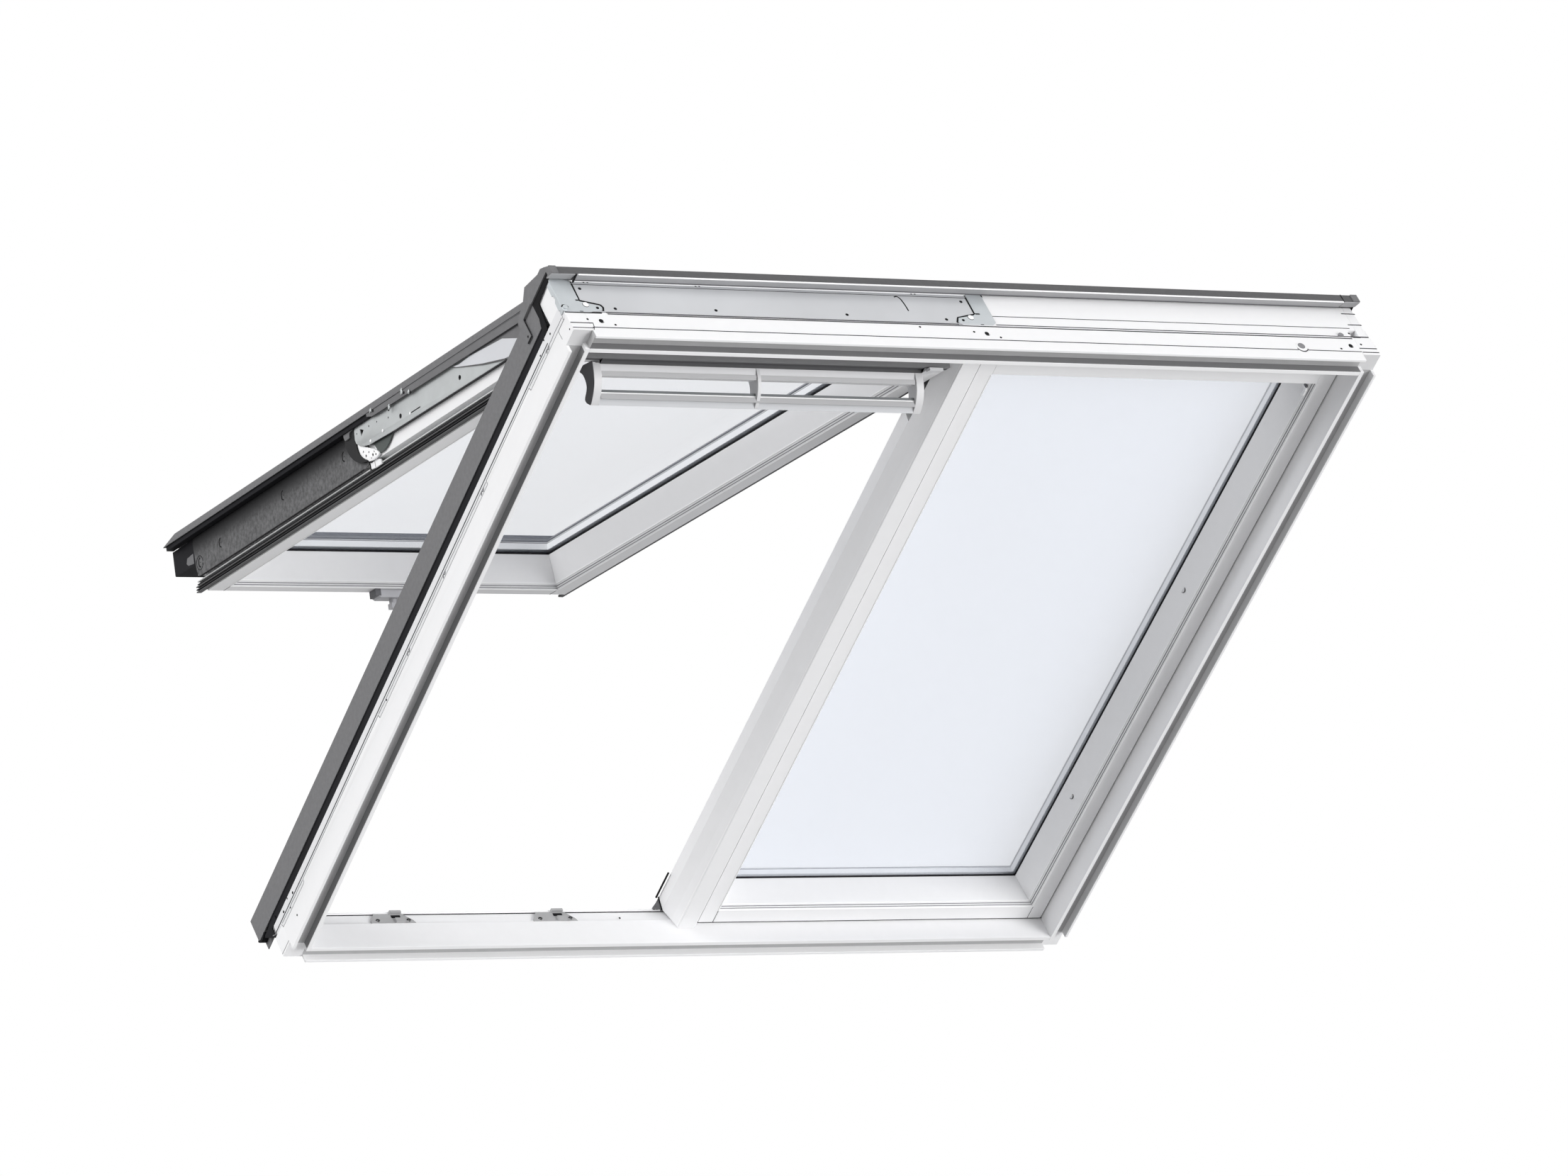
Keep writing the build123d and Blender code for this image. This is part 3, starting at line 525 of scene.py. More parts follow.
class WINDOW_OT_sheets(bpy.types.Operator):
    """Round the edges of the sheet parts"""

    bl_idname = "roof_window.sheets"
    bl_label = "Sheet parts"

    def execute(self, context):
        for side, end in SIDES:
            softened("side_cladding_" + end, "_sheet", "cladding", SHEET_EDGE)
        # one corner of the mullion's cover is cut off, and the openings flare outward from the pane's edge
        flares = (
            ("fixed_cover", (58, 572.9, 61.2, 1092, 109.3), (58, 584, 51.5, 1092, 119.5), at),
            ("sash_cover", (-560, -57, 62.5, 1095, 109.3), (-560, -22, 0, 1095, 129.6), opened))
        corner = prism([(-7, 101.5), (9.6, 119.6), (-7, 119.6)], 20, 1160, "s", at)
        for node, taken in [("mullion_cover", corner)] + [(node, funnel(*rest)) for node, *rest in flares]:
            sheet = softened(node, "_sheet", "cladding", 0.0)
            cut(sheet, taken)
            soften(sheet, SHEET_EDGE)
        foot = [(-2, 126.5), (62.5, 108.4), (62.5, 107.4), (31.5, 111.5), (-2, 121.5)]
        show("sash_cover_foot", "cladding", "cladding", prism(foot, -560.5, -36, "u", opened), soft=0.3)
        for side, end in SIDES:
            self.cheek(side, end)
        # the hood's sheet takes the darker copy of the cladding, painted shade
        softened("head_hood", "_sheet", "hood", SHEET_EDGE)
        for side, end in SIDES:
            a, b = span(side, 635.4, 627.6)[:2]
            # black fill in the recessed gap between jamb and cladding: painted shade
            show("gap_painted_shade_" + end, "black_rubber_and_shade", "gasket",
                 prism([(a, 64.1), (b, 64.1), (b, 77.8), (a, 77.8)], -6, 1124, "s", at), soft=0.3)
            bead = bend([(-41, 81), (-37.5, 76.6), (-30, 75.2), (-20, 77.4)])
            show("cladding_bead_" + end, "black_rubber_and_shade", "gasket",
                 trace(bead, 3.2, *span(side, 637.2, 626.5)), soft=0.3)
        self.hood()
        # foot of the mullion's outer cover, seen past the mullion
        foot = [(-38.7, 64.4), (-36.5, 70), (-27, 79.5), (-18.2, 90), (-17, 92), (-17, 64.4)]
        show("mullion_cover_foot", "cladding", "cladding", prism(foot, 26.2, 29.1, "s", at), soft=0.3)
        show("mullion_cover_seam", "shadow", "gasket",
             trace([(-23.3, 64.5), (-19.0, 90)], 1.6, 29.1, 30.2, "s", at),
             slab(-23.6, -21.6, 29, 80, 88.5, 90.5, at))
        return {"FINISHED"}

    def cheek(self, side, end):
        """End of the hood, with a bore and an L-shaped mark cut into it."""
        sheet = softened("hood_side_" + end, "_sheet", "cladding", 0.0)
        skin = span(side, 639.2, 641)
        angle = [(1097.7, 87.4), (1098.9, 87.4), (1098.9, 117.0), (1126, 117.8), (1126, 119.0),
                 (1097.7, 118.2)]
        cut(sheet, disc(1091.3, 92.7, 2.0, *skin, 14))
        cut(sheet, trace([(1084.2, 86.9), (1098.3, 86.9)], 1.2, *skin))
        cut(sheet, prism(angle, *skin))
        soften(sheet, SHEET_EDGE)
        gap = [(1139, 105), (1161.6, 107), (1184, 108.5), (1184, 117), (1125.5, 117), (1125.5, 90.2),
               (1120.9, 78.6), (1121, 64), (1131, 64)]
        show("corner_gap_" + end, "shadow", "gasket", prism(gap, *span(side, 637.6, 636.9)))

    def hood(self):
        """Painted reflection under the hood's lip as a pale strip, with a painted highlight on the sheet's
        rolled edge.
        """
        underside_reflection = [(1193.0, 104.0), (1192.8, 102.3), (1178.3, 108.6), (1178.3, 111.6)]
        show("hood_painted_reflection", "underside_reflection", "plate", prism(underside_reflection, -602, 612.6, "u", at))
        rolled = [(1192.7, 104.3), (1192.7, 102.2), (1193.5, 102.2), (1193.6, 104.3)]
        show("hood_rolled_edge", "silver_and_painted_highlight", "plate", prism(rolled, -600, 612.6, "u", at))
        underside_reflection = [(1193.2, 104.0), (1193.0, 103.0), (1179.5, 108.6), (1179.5, 111.0)]
        show("hood_end_painted_reflection", "underside_reflection", "plate", prism(underside_reflection, 614.4, 639.8, "u", at),
             prism(underside_reflection, -639.8, -604.5, "u", at), soft=0.3)
        show("hood_reflection_border", "lock_dark", "plate", slab(-602, 612.6, 1178.2, 1179.2, 107.4, 108.8, at))
        show("hood_joints", "shadow", "gasket",
             slab(613.0, 614.2, 1192.8, 1193.5, 103.6, 118.2, at),
             slab(-604.2, -602.2, 1179, 1193.3, 102.6, 104.4, at))


class WINDOW_OT_panes(bpy.types.Operator):
    """Insulating panes with their spacers, and the black seals round them"""

    bl_idname = "roof_window.panes"
    bl_label = "Panes"

    def execute(self, context):
        width = 16.5
        for node, glass, u0, u1, s0, s1, place in (
                ("fixed", "glass", 51.5, 579.0, 58.0, 1119.0, at),
                ("sash", "glass_open", -579.0, -51.0, 58.5, 1117.0, opened)):
            edge = (u0, u1, s0, s1)
            panes = show(node + "_panes", glass, "glass", slab(*edge, 86.6, 90.6, place),
                         slab(*edge, 102.4, 106.4, place))
            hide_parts(node + "_glass")
            ring = hollow(edge, (u0 + width, u1 - width, s0 + width, s1 - width))
            # the spacers take the near-white finish, a painted reflection
            show(node + "_spacer", "spacer", "plate", slabs(ring, 90.7, 99.6, place))
            seam = width - 0.2
            ring = hollow(edge, (u0 + seam, u1 - seam, s0 + seam, s1 - seam))
            for step, key in enumerate(("dark_seal_and_shade", "silver_and_painted_highlight", "dark_seal_and_shade")):
                low = 99.7 + 0.9 * step
                show("%s_sealant_%d" % (node, step), key, "gasket", slabs(ring, low, low + 0.85, place))
            softened(node + "_gasket", "_soft", "black_rubber_and_shade", 0.5)
        return {"FINISHED"}


class WINDOW_OT_head(bpy.types.Operator):
    """Hinge plate, angle brackets, joints and holes on the head"""

    bl_idname = "roof_window.head"
    bl_label = "Head fittings"

    def execute(self, context):
        joints = [
            (-606, 608, 17.5, HEIGHT, 1.3), (-574, 605, 44.2, HEIGHT, 1.7), (28, 636.5, 50.4, STEP_S, 1.3),
            (28, 613, 67.6, STEP_S, 1.1), (613.7, 636.8, 98.0, STEP_S, 1.6), (613.8, 636.8, 75.2, STEP_S, 1.5),
            (605.7, 636.3, 49.6, STEP_S, 1.8), (607.8, 636.8, 24.6, HEIGHT, 1.5),
            (609, 636.8, 16.6, HEIGHT, 1.4), (-636.5, -602.8, 25.5, HEIGHT, 1.4),
            (-636.5, -604.5, 16.0, HEIGHT, 1.2), (-636.9, -582.0, 45.4, HEIGHT, 1.8)]
        show("head_joints", "joint", "gasket",
             *[slab(u0, u1, s - 0.3, s + 0.12, n - 0.6 * w, n + 0.6 * w, at) for u0, u1, n, s, w in joints],
             trace([(-603.0, 25.8), (-604.2, 17.5), (-606.5, 12.2)], 1.0, 1177.8, 1178.12, "s", at))
        # bores, the wide ones with painted shade along part of the rim
        bores = [
            (-589, 30.4, 3.3, HEIGHT), (-608.3, 32.8, 1.7, HEIGHT), (-570.2, 23.4, 1.7, HEIGHT),
            (3.2, 30.2, 3.3, HEIGHT), (-15.9, 32.6, 1.7, HEIGHT), (22.2, 22.9, 1.7, HEIGHT),
            (595.1, 29.4, 3.3, HEIGHT), (576.3, 22.5, 1.7, HEIGHT), (614.0, 32.5, 1.7, HEIGHT),
            (-98.3, 39, 1.7, HEIGHT), (606.6, 57.1, 1.6, STEP_S)]
        show("head_bores", "shadow", "gasket",
             *[disc(u, n, r, s - 0.4, s + 0.15, "s", at) for u, n, r, s in bores])
        show("head_bore_rim_shade", "joint", "gasket", *[
            trace(circle(u + 0.3, n - 0.3, r + 0.4, 12, 200, 130), 0.8, s, s + 0.3, "s", at)
            for u, n, r, s in bores if r > 3])
        # boss with a plug, and a half-round plug over the joint
        show("head_boss", "lacquer", "white", disc(510.5, 23.5, 8.6, 1177.5, 1179.2, "s", at, 28), soft=0.6)
        half = [(590 + 4.2 * a, 51.6 + 4.2 * max(b, -0.35)) for a, b in circle(0, 0, 1, 28)]
        show("head_plugs", "plug", "catch", disc(510.0, 24.4, 5.6, 1177.5, 1179.6, "s", at, 28),
             prism(half, 1175.5, 1178.4, "s", at), soft=0.4)
        show("head_boss_shade", "joint", "gasket",
             trace(circle(510.9, 22.6, 8.4, 14, 190, 150), 1.5, 1177.9, 1178.6, "s", at))
        self.plate()
        self.brackets()
        return {"FINISHED"}

    def plate(self):
        softened("hinge_plate", "_sheet", "plate", 0.3)
        bores = [(-596.1, 93.4), (-557.4, 56.0), (-9.6, 93.8), (-48.4, 56.8), (-404.2, 59.4), (-202.7, 59.7)]
        crease = bend([(-113, 98.6), (-108.5, 99.8), (-104.8, 96), (-103, 88), (-102, 79), (-101.8, 71.4)])
        show("plate_bores", "shadow", "gasket",
             discs([(u, n, 2.4) for u, n in bores], PLATE_S, 1177.35, "s", at),
             *[slab(u - 1.1, u + 1.1, PLATE_S, 1177.8, 104.9, 106.3, at)
               for u in (-585.6, -579.8, -416.5, -411.0, -83.0, -77.5)],
             trace(crease, 1.8, PLATE_S, 1177.4, "s", at),
             slab(-606.8, 2.0, PLATE_S, 1177.35, 101.2, 102.0, at))
        # painted highlights along the hinge plate's bent edges
        show("plate_bright_edges", "silver_and_painted_highlight", "plate",
             slab(-606.8, 2.0, 1177.1, 1178.3, 106.6, 109.4, at),
             slab(-575.0, -35.0, 1177.1, 1178.2, 48.3, 49.7, at), soft=0.4)
        show("plate_lower_shade", "joint", "gasket", slab(-575.0, -33.0, 1176.9, 1178.15, 46.0, 47.6, at))

    def brackets(self):
        # dark clearance line round each bracket
        left = [(-605.0, 110), (-605.8, 69.6), (-577.5, 62.4), (-575.0, 57.5), (-577.4, 50.4), (-583, 47.6),
                (-631, 47.2)]
        right = [(1.2, 110), (1.2, 68.6), (-4, 67.8), (-29, 61), (-33.8, 51.5), (-27, 46.6), (20, 46.2)]
        show("bracket_clearance", "shadow", "gasket",
             trace(left, 2.4, 1177.1, 1177.6, "s", at),
             trace(right, 2.4, 1177.1, 1177.6, "s", at),
             slab(2.0, 9.0, HEIGHT, 1178.2, 67.9, 70.3, at),
             slab(-612, -606, HEIGHT, 1178.2, 68.6, 70.6, at),
             trace([(27.6, 104), (27.6, 110)], 2.0, STEP_S, 1178.1, "s", at))
        for side, end in SIDES:
            softened("bracket_" + end, "_sheet", "bracket", 0.5)
        rivets = ((-599.8, 61.4), (-8.5, 61.6))
        show("bracket_rivets", "silver_and_painted_highlight", "plate",
             discs([(u, n, 4.2) for u, n in rivets], 1177.8, 1178.7, "s", at),
             discs([(u + 0.5, n - 0.4, 2.2) for u, n in rivets], 1178.7, 1179.5, "s", at), soft=0.5)
        show("bracket_marks", "shadow", "gasket",
             *[trace(circle(u, n, 4.4, 12, 150, 160), 0.9, HEIGHT, 1178.3, "s", at) for u, n in rivets],
             discs([(-584.4, 55.8, 2.1), (-22.8, 55.6, 2.1)], 1177.6, 1178.2, "s", at),
             *[slab(u - 2.5, u + 2.5, HEIGHT, 1178.25, 47.4, 48.4, at) for u in (-611, 4.0)])
        # stepped flange and knuckle at the left corner
        flange = [(1178, 104), (1170.0, 104), (1169.4, 84), (1172.6, 82.5), (1173.0, 75), (1169.2, 71.5),
                  (1168.6, 57), (1178, 50)]
        show("bracket_flange", "bracket", "plate", prism(flange, -638.3, -HALF_W, "u", at), soft=0.3)
        show("bracket_knuckle", "bracket", "plate",
             disc(-634.2, 53.2, 3.6, HEIGHT, 1181.2, "s", at),
             slab(-638.6, -632.5, 1169.5, 1179.5, 47.6, 53.8, at), soft=0.7)
        show("knuckle_shade", "shadow", "gasket",
             trace(circle(-634.0, 53.4, 4.6, 12, 10, 150), 1.4, HEIGHT, 1179.6, "s", at))


class WINDOW_OT_jamb(bpy.types.Operator):
    """Rail, hooks, bores and joints on the left jamb's outer side, mirrored on the right one"""

    bl_idname = "roof_window.jamb"
    bl_label = "Jamb sides"

    def execute(self, context):
        waved = ((29.4, 118.0), (439.0, 874.0), (1043.5, 1168.0))
        bores = [
            (83, 55.1, 2.0), (44.5, 55.4, 2.0), (65.4, 61.0, 1.3), (64, 44.6, 1.3), (71.1, 23.6, 1.5),
            (3.9, 53.7, 1.2), (469.6, 44.2, 1.5), (1131.1, 54.8, 1.6), (1113.5, 61.5, 1.4),
            (1092.9, 54.1, 1.4), (1170.9, 20, 1.2)]
        for side, end in SIDES:
            def line(points, width, proud):
                return trace(points, width, *span(side, HALF_W - 0.5, HALF_W + proud))

            softened("rail_" + end, "_sheet", "rail", 0.4)
            joints = [
                line([(6.7, 61.9), (5, 49.5), (-3, 55)], 1.2, 0.15),
                line([(28, 16.2), (0.5, 16.2)], 1.2, 0.12),
                line([(1171, 40.2), (1148, 40.4), (1148.3, 25.2)], 0.9, 0.12),
                line([(118.5, 46.9), (438.5, 46.9)], 1.1, 0.12),
                line([(874.5, 46.9), (1043, 46.9)], 1.1, 0.12)]
            for s0, s1 in waved:
                joints += [
                    line(bend(wave(s0, s1), 3), 1.2, 0.14),
                    line([(s0 + 1, 40.8), (s1 - 1, 40.8)], 0.8, 0.14),
                    line([(s0, 40.8), (s0 - 1.5, 47)], 1.0, 0.14),
                    line([(s1, 40.8), (s1 + 1.5, 47)], 1.0, 0.14)]
            show("rail_%s_joints" % end, "plug", "gasket", *joints)
            edge = bend([(2, 51.2), (200, 50.8), (420, 51.4), (640, 51.0), (860, 51.5), (1118, 51.0)], 3)
            show("rail_%s_line" % end, "joint", "gasket", line(edge, 1.9, 0.14))
            show("rail_%s_bores" % end, "shadow", "gasket",
                 discs(bores, *span(side, HALF_W - 0.5, HALF_W + 0.25), 12))
            # spring hooks pressed from the rail
            raised = span(side, HALF_W - 0.4, HALF_W + 0.9)
            show("rail_%s_hooks" % end, "plug", "catch", *[
                trace(bend([(s - 5, 42.5), (s - 1, 46.2), (s + 2, 43.2), (s + 6, 46.4)], 4), 1.3, *raised)
                for s in (857.5, 705.1, 1112.4, 560.0)], soft=0.2)
            mark = span(side, 638.8, 639.4)
            show("cheek_%s_marks" % end, "shadow", "gasket",
                 disc(1091.3, 92.7, 1.9, *mark, 14),
                 trace([(1084.2, 86.9), (1098.0, 86.9)], 1.1, *mark),
                 trace([(1098.3, 87.6), (1098.3, 117.4), (1126, 118.3)], 1.0, *mark))
        return {"FINISHED"}


PIVOT_BORES = (
    (583.3, 67.8, 2.2), (602.8, 63.6, 2.3), (592.5, 70.5, 1.6), (598.0, 60.4, 1.4), (611.5, 62.0, 1.8),
    (577.0, 75.5, 1.7), (607.5, 67.0, 1.4))


class WINDOW_OT_sash_side(bpy.types.Operator):
    """Side board, seals, lift arm and pivot housing on the open sash's sides"""

    bl_idname = "roof_window.sash_side"
    bl_label = "Sash sides"

    def execute(self, context):
        for (side, end), face in zip(SIDES, SASH_SIDES_U):
            def layer(low, high):
                """Two depths proud of the sash's side, with the axis and place that prism takes."""
                return (*sorted((face + side * low, face + side * high)), "u", opened)

            self.board(layer, end)
            self.seals(layer, end)
            self.arm(layer, end)
            self.lugs(layer, end)
            self.housing(layer, end)
            # black line under the cover and the folded ledge that carries the arm
            under = [(-36, 112.5), (1080, 112.5), (1080, 119.2), (-36, 119.2)]
            show("cover_black_band_" + end, "black_rubber_and_shade", "gasket", prism(under, *layer(0.2, 11.5)), soft=0.3)
            ledge = [(612, 119), (612, 114.5), (628, 110.5), (1090, 106.0), (1090, 117.2)]
            upper = [(700, 117.5), (700, 119.3), (1090, 119.3), (1090, 117.5)]
            show("arm_ledge_" + end, "ledge", "plate",
                 prism(ledge, *layer(11.6, 13.0)), prism(upper, *layer(11.6, 13.0)), soft=0.5)
        return {"FINISHED"}

    def board(self, layer, end):
        outline = [(31, 112), (28.4, 103), (32, 63), (36, 55.5), (41, 52.8), (566, 52.8), (578, 54.5),
                   (586, 58), (586, 112)]
        board = show("side_board_%s_sheet" % end, "board", "board",
                     prism(outline, *layer(0.1, 1.6)), soft=0.5)
        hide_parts("side_board_" + end)
        marks = [prism([(41, 51.9), (566, 51.9), (568, 54.0), (39, 54.0)], *layer(1.5, 2.2))]
        for s, n in ((44.2, 72.2), (114.4, 81.3), (319.3, 90.0), (511.0, 88.0)):
            crescent = [(s + 2.6, n + 6.8), (s - 1.6, n + 4.4), (s - 2.6, n), (s - 1.6, n - 4.4),
                        (s + 2.6, n - 6.8)]
            marks.append(trace(bend(crescent, 4), 1.7, *layer(1.5, 2.0)))
            marks.append(disc(s + 3.2, n, 0.7, *layer(1.5, 1.9), 8))
        marks.append(trace(circle(44.8, 72.2, 10.2, 24), 0.8, *layer(1.5, 1.9)))
        show("board_marks_" + end, "shadow", "gasket", *marks)
        clip = [(24, 92), (4.3, 90.2), (0.8, 82.7), (6, 78.5), (24, 76.7)]
        show("board_clip_" + end, "ledge", "plate", prism(clip, *layer(-7.0, 0.8)), soft=0.8)

    def seals(self, layer, end):
        for n, reach, thick, key in (
                (50.6, 11.0, 1.8, "fin"), (47.2, 9.6, 1.5, "dark_seal_and_shade"), (44.2, 10.6, 1.6, "fin_dark"),
                (41.0, 9.0, 1.6, "dark_seal_and_shade"), (38.4, 7.6, 1.4, "fin_dark")):
            low, high = layer(-12.1, -12.1 + reach)[:2]
            outer, inner = (low, high) if end == "left" else (high, low)
            tip = n - thick * 0.6 - 0.8
            outline = [(inner, n + thick), (inner, n - thick), (outer, tip), (outer, n - 0.2)]
            show("sash_fin_%s_%d" % (end, int(n)), key, "gasket",
                 prism(outline, 25.0 - (50.6 - n) * 1.1, 1085, "s", opened), soft=0.25)

    def arm(self, layer, end):
        outline = [
            (583, 118), (566, 114.5), (562, 110), (561.2, 97), (564, 91), (572, 86), (584, 81.5), (600, 78.6),
            (658, 76.6), (1000, 73.6), (1086, 73.2), (1124, 85.5), (1126.6, 85), (1132, 87), (1134.6, 93),
            (1132, 99), (1126.6, 101), (1120, 101), (1062, 112), (1040, 118)]
        plate = show("lift_arm_%s_plate" % end, "arm", "plate", prism(outline, *layer(6.0, 7.6)), soft=0.5)
        through = layer(4.0, 9.0)
        bores = [(874.9, 88.8, 3.6), (698.7, 89.3, 3.6), (664.0, 97.9, 1.5), (629.9, 102.3, 1.3),
                 (605.9, 103.6, 1.5), (569.1, 103.6, 1.3)]
        cut(plate, discs(bores, *through), prism([(579, 107.5), (590, 103), (581.5, 96.5)], *through),
            slab(*through[:2], 729, 757, 83.6, 85.4, opened))
        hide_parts("lift_arm_" + end)
        # deep lower edge of the arm and the dark space behind it
        edge = [(600, 78.6), (658, 76.6), (1000, 73.6), (1086, 73.2), (1086, 75.0), (1000, 75.4), (658, 78.4),
                (602, 80.4)]
        space = [(575, 116), (572, 92), (602, 84), (1060, 79), (1060, 116)]
        show("arm_shadow_" + end, "dark_seal_and_shade", "gasket",
             prism(edge, *layer(0.3, 6.4)), prism(space, *layer(0.3, 2.4)))
        show("arm_pin_" + end, "silver_and_painted_highlight", "plate",
             disc(HINGE_S, HINGE_N, 7.6, *layer(5.5, 9.0), 24), soft=0.6)
        show("arm_rivets_" + end, "silver_and_painted_highlight", "plate",
             discs([(644.7, 85.2, 2.2), (606.9, 82.0, 2.2)], *layer(7.5, 8.6), 14),
             slab(*layer(7.5, 8.4)[:2], 725.4, 728.6, 82.6, 86.4, opened), soft=0.4)
        # wide upper plate
        slope = [(913, 107.2), (968, 104), (1005, 102), (1041, 91), (1090, 77)]
        upper = [(862, 108), (880, 105.5)] + slope + [(1090, 70), (1007, 73.8), (943.5, 86.5), (872, 104)]
        show("arm_upper_plate_" + end, "upper_plate", "plate", prism(upper, *layer(8.2, 9.6)), soft=0.4)
        wedge = [(900, 113.5)] + slope + [(1090, 108), (1000, 112)]
        show("arm_wedge_" + end, "ledge", "plate", prism(wedge, *layer(8.1, 9.2)))
        shade = [(862, 107.2), (872, 104.2), (943.5, 85.6), (1007, 72.6)]
        show("upper_plate_shade_" + end, "ledge_dark", "plate", trace(shade, 1.5, *layer(7.7, 9.4)))

    def lugs(self, layer, end):
        """Lugs that hook the arm into the ledge."""
        lugs = []
        for s, n, tall in (
                (627.2, 119.0, 6.5), (680.9, 107.5, 7.5), (721.0, 117.0, 9.0), (740.9, 110.6, 6.0)):
            low, high = n - tall / 2, n + tall / 2
            outline = [(s - 2.0, low), (s + 2.4, low + 1.5), (s + 2.4, high), (s - 2.0, high - 1.5)]
            lugs.append(prism(outline, *layer(12.6, 14.6)))
        show("arm_lugs_" + end, "arm", "plate", *lugs, soft=0.5)
        holes = [(633, 117, 2.2), (678, 104.8, 2.2), (726, 114, 2.2), (745, 108.5, 2.2)]
        show("arm_lug_holes_" + end, "shadow", "gasket", discs(holes, *layer(12.9, 13.3), 12))

    def housing(self, layer, end):
        outer = bend([(534, 120), (531, 104.7), (532, 95), (537, 85), (545, 76), (555, 68.4), (566, 63.2),
                      (576, 60.2), (590, 58.6)])
        inner = bend([(586, 61.5), (576, 67), (567, 76), (563.5, 86), (562.5, 100), (560, 118)])
        show("pivot_housing_" + end, "housing", "gasket", prism(outer + inner, *layer(1.7, 7.2)), soft=0.6)
        near = bend([(533.8, 122.5), (532.4, 114), (535, 104.5), (540, 103)])
        far = bend([(549, 103.6), (551, 110), (560, 112.6), (563, 116), (562, 120)])
        show("pivot_cap_" + end, "ledge", "plate",
             prism(near + far + [(546, 121.6)], *layer(6.9, 9.4)), soft=0.9)
        front = bend([(562, 92), (565, 80), (571, 70), (580, 62), (590, 58.2), (603, 56.6), (616, 57.6),
                      (621, 60.5), (616, 66)])
        back = bend([(604, 72), (590, 78), (577, 84), (566, 91)])
        drum = show("pivot_drum_" + end, "silver_and_painted_highlight", "plate",
                    prism(front + back, *layer(2.0, 5.0)), soft=0.5)
        cut(drum, discs(PIVOT_BORES, *layer(3.6, 6.0), 14))
        floors = [(s, n, r * 0.96) for s, n, r in PIVOT_BORES]
        show("pivot_drum_bores_" + end, "shadow", "gasket", discs(floors, *layer(3.4, 4.0), 14))
        # dark lobe to the right of the drum, and the pale stub below it
        lobe = bend([(604, 80.5), (612, 70), (617, 62.5), (628, 60.6), (640, 62.5), (652, 68), (661, 74.5),
                     (668, 80)])
        show("pivot_lobe_" + end, "lobe", "gasket", prism(lobe + [(640, 82)], *layer(1.4, 3.2)), soft=0.5)
        stub = [(586, 57), (586.8, 47.6), (600, 46.2), (618, 46.6), (616, 54), (606, 57.6)]
        show("pivot_stub_" + end, "lacquer", "white", prism(stub, *layer(-1.5, 1.2)), soft=0.5)
        show("pivot_stub_shade_" + end, "shadow", "gasket",
             trace([(584.2, 60), (586, 47)], 2.2, *layer(0.8, 1.8)),
             trace([(590, 56.5), (604, 58.4), (618, 62.6)], 1.6, *layer(1.0, 2.2)),
             trace([(599, 55), (600, 47)], 0.8, *layer(1.0, 1.4)))


class WINDOW_OT_vent(bpy.types.Operator):
    """Vent flap, its crescent brackets and the control bar under the head"""

    bl_idname = "roof_window.vent"
    bl_label = "Vent flap and bar"

    def execute(self, context):
        flap = softened("vent_flap", "_soft", "flap", 0.0)
        cut(flap, slab(-620, -557, 1100, 1160, -10, 60, opened), slab(-62, -10, 1100, 1160, -10, 60, opened))
        soften(flap, 0.8)
        softened("control_bar", "_soft", "bar", 0.5)
        for node in ("bar_bracket_left", "bar_bracket_mid", "bar_bracket_right"):
            softened(node, "_soft", "crescent", 0.5)
        along_flap = (-557, -62, "u", opened)
        # dark band across the flap and under the sash's top rail: painted shade beneath the head
        dark_seal_and_shade = [(1130.1, 29.4), (1130.5, 29.4), (1130.5, 36.5), (1143.8, 36.5), (1143.8, 34.6),
                (1130.1, 34.6)]
        show("flap_painted_shade", "flap_shade", "gasket", prism(dark_seal_and_shade, *along_flap))
        front = bend([(1131, 33), (1131, 24), (1129.1, 11), (1127.5, 1.2), (1117.7, -16.2),
                      (1111.9, -22.1)], 4)
        back = bend([(1102.9, -16.7), (1100.1, -10.2), (1106.5, -1), (1108.5, 6), (1106.5, 15), (1102, 23),
                     (1095.1, 29.9), (1106.9, 34.8)], 4)
        # painted shade on the side of the crescent bracket
        show("crescent_side_shade", "crescent_side_shade", "bar", prism(front + back, -568.9, -568.3, "u", opened))
        rail = (-605.5, -24.5)
        show("rail_shade", "flap_shade", "gasket", slab(*rail, 1130.6, 1138.2, 34.2, 34.9, opened))
        show("rail_band", "rail_shade", "gasket", slab(*rail, 1138.2, 1144.1, 34.2, 34.9, opened),
             slab(*rail, 1143.9, 1144.15, 34.2, 40.0, opened))
        show("rail_line", "shadow", "gasket", slab(*rail, 1143.9, 1144.3, 40.0, 41.6, opened))
        # grey band on the flap's lower curve: painted shade
        show("flap_lower_band", "painted_shade_band", "flap",
             prism([(1128.9, 13.3), (1129.4, 13.3), (1130.25, 19.8), (1129.8, 19.8)], *along_flap))
        bar = (-556.0, -73.5)
        show("bar_dark_lip", "bar_slot", "bar", slab(*bar, 1119.0, 1120.1, -6.2, -2.6, opened), soft=0.3)
        # white band along the bar: painted highlight
        show("bar_painted_highlight", "silver_and_painted_highlight", "bar", slab(*bar, 1118.6, 1120.3, -7.9, -6.2, opened), soft=0.4)
        # block that closes the flap's end beside the mullion
        show("flap_end_block", "flap", "flap",
             prism([(-60, 1148), (-38, 1147.5), (-38, 1137), (-60, 1139)], 28.0, 32.5, "n", opened),
             prism([(-61, 1139), (-42, 1138), (-46, 1130), (-61, 1116)], 30.0, 34.8, "n", opened), soft=0.5)
        # grey band on the bar's lower face: painted shade
        show("bar_lower_band", "painted_shade_band", "bar", slab(*bar, 1119.6, 1120.4, -15.3, -8.1, opened))
        return {"FINISHED"}


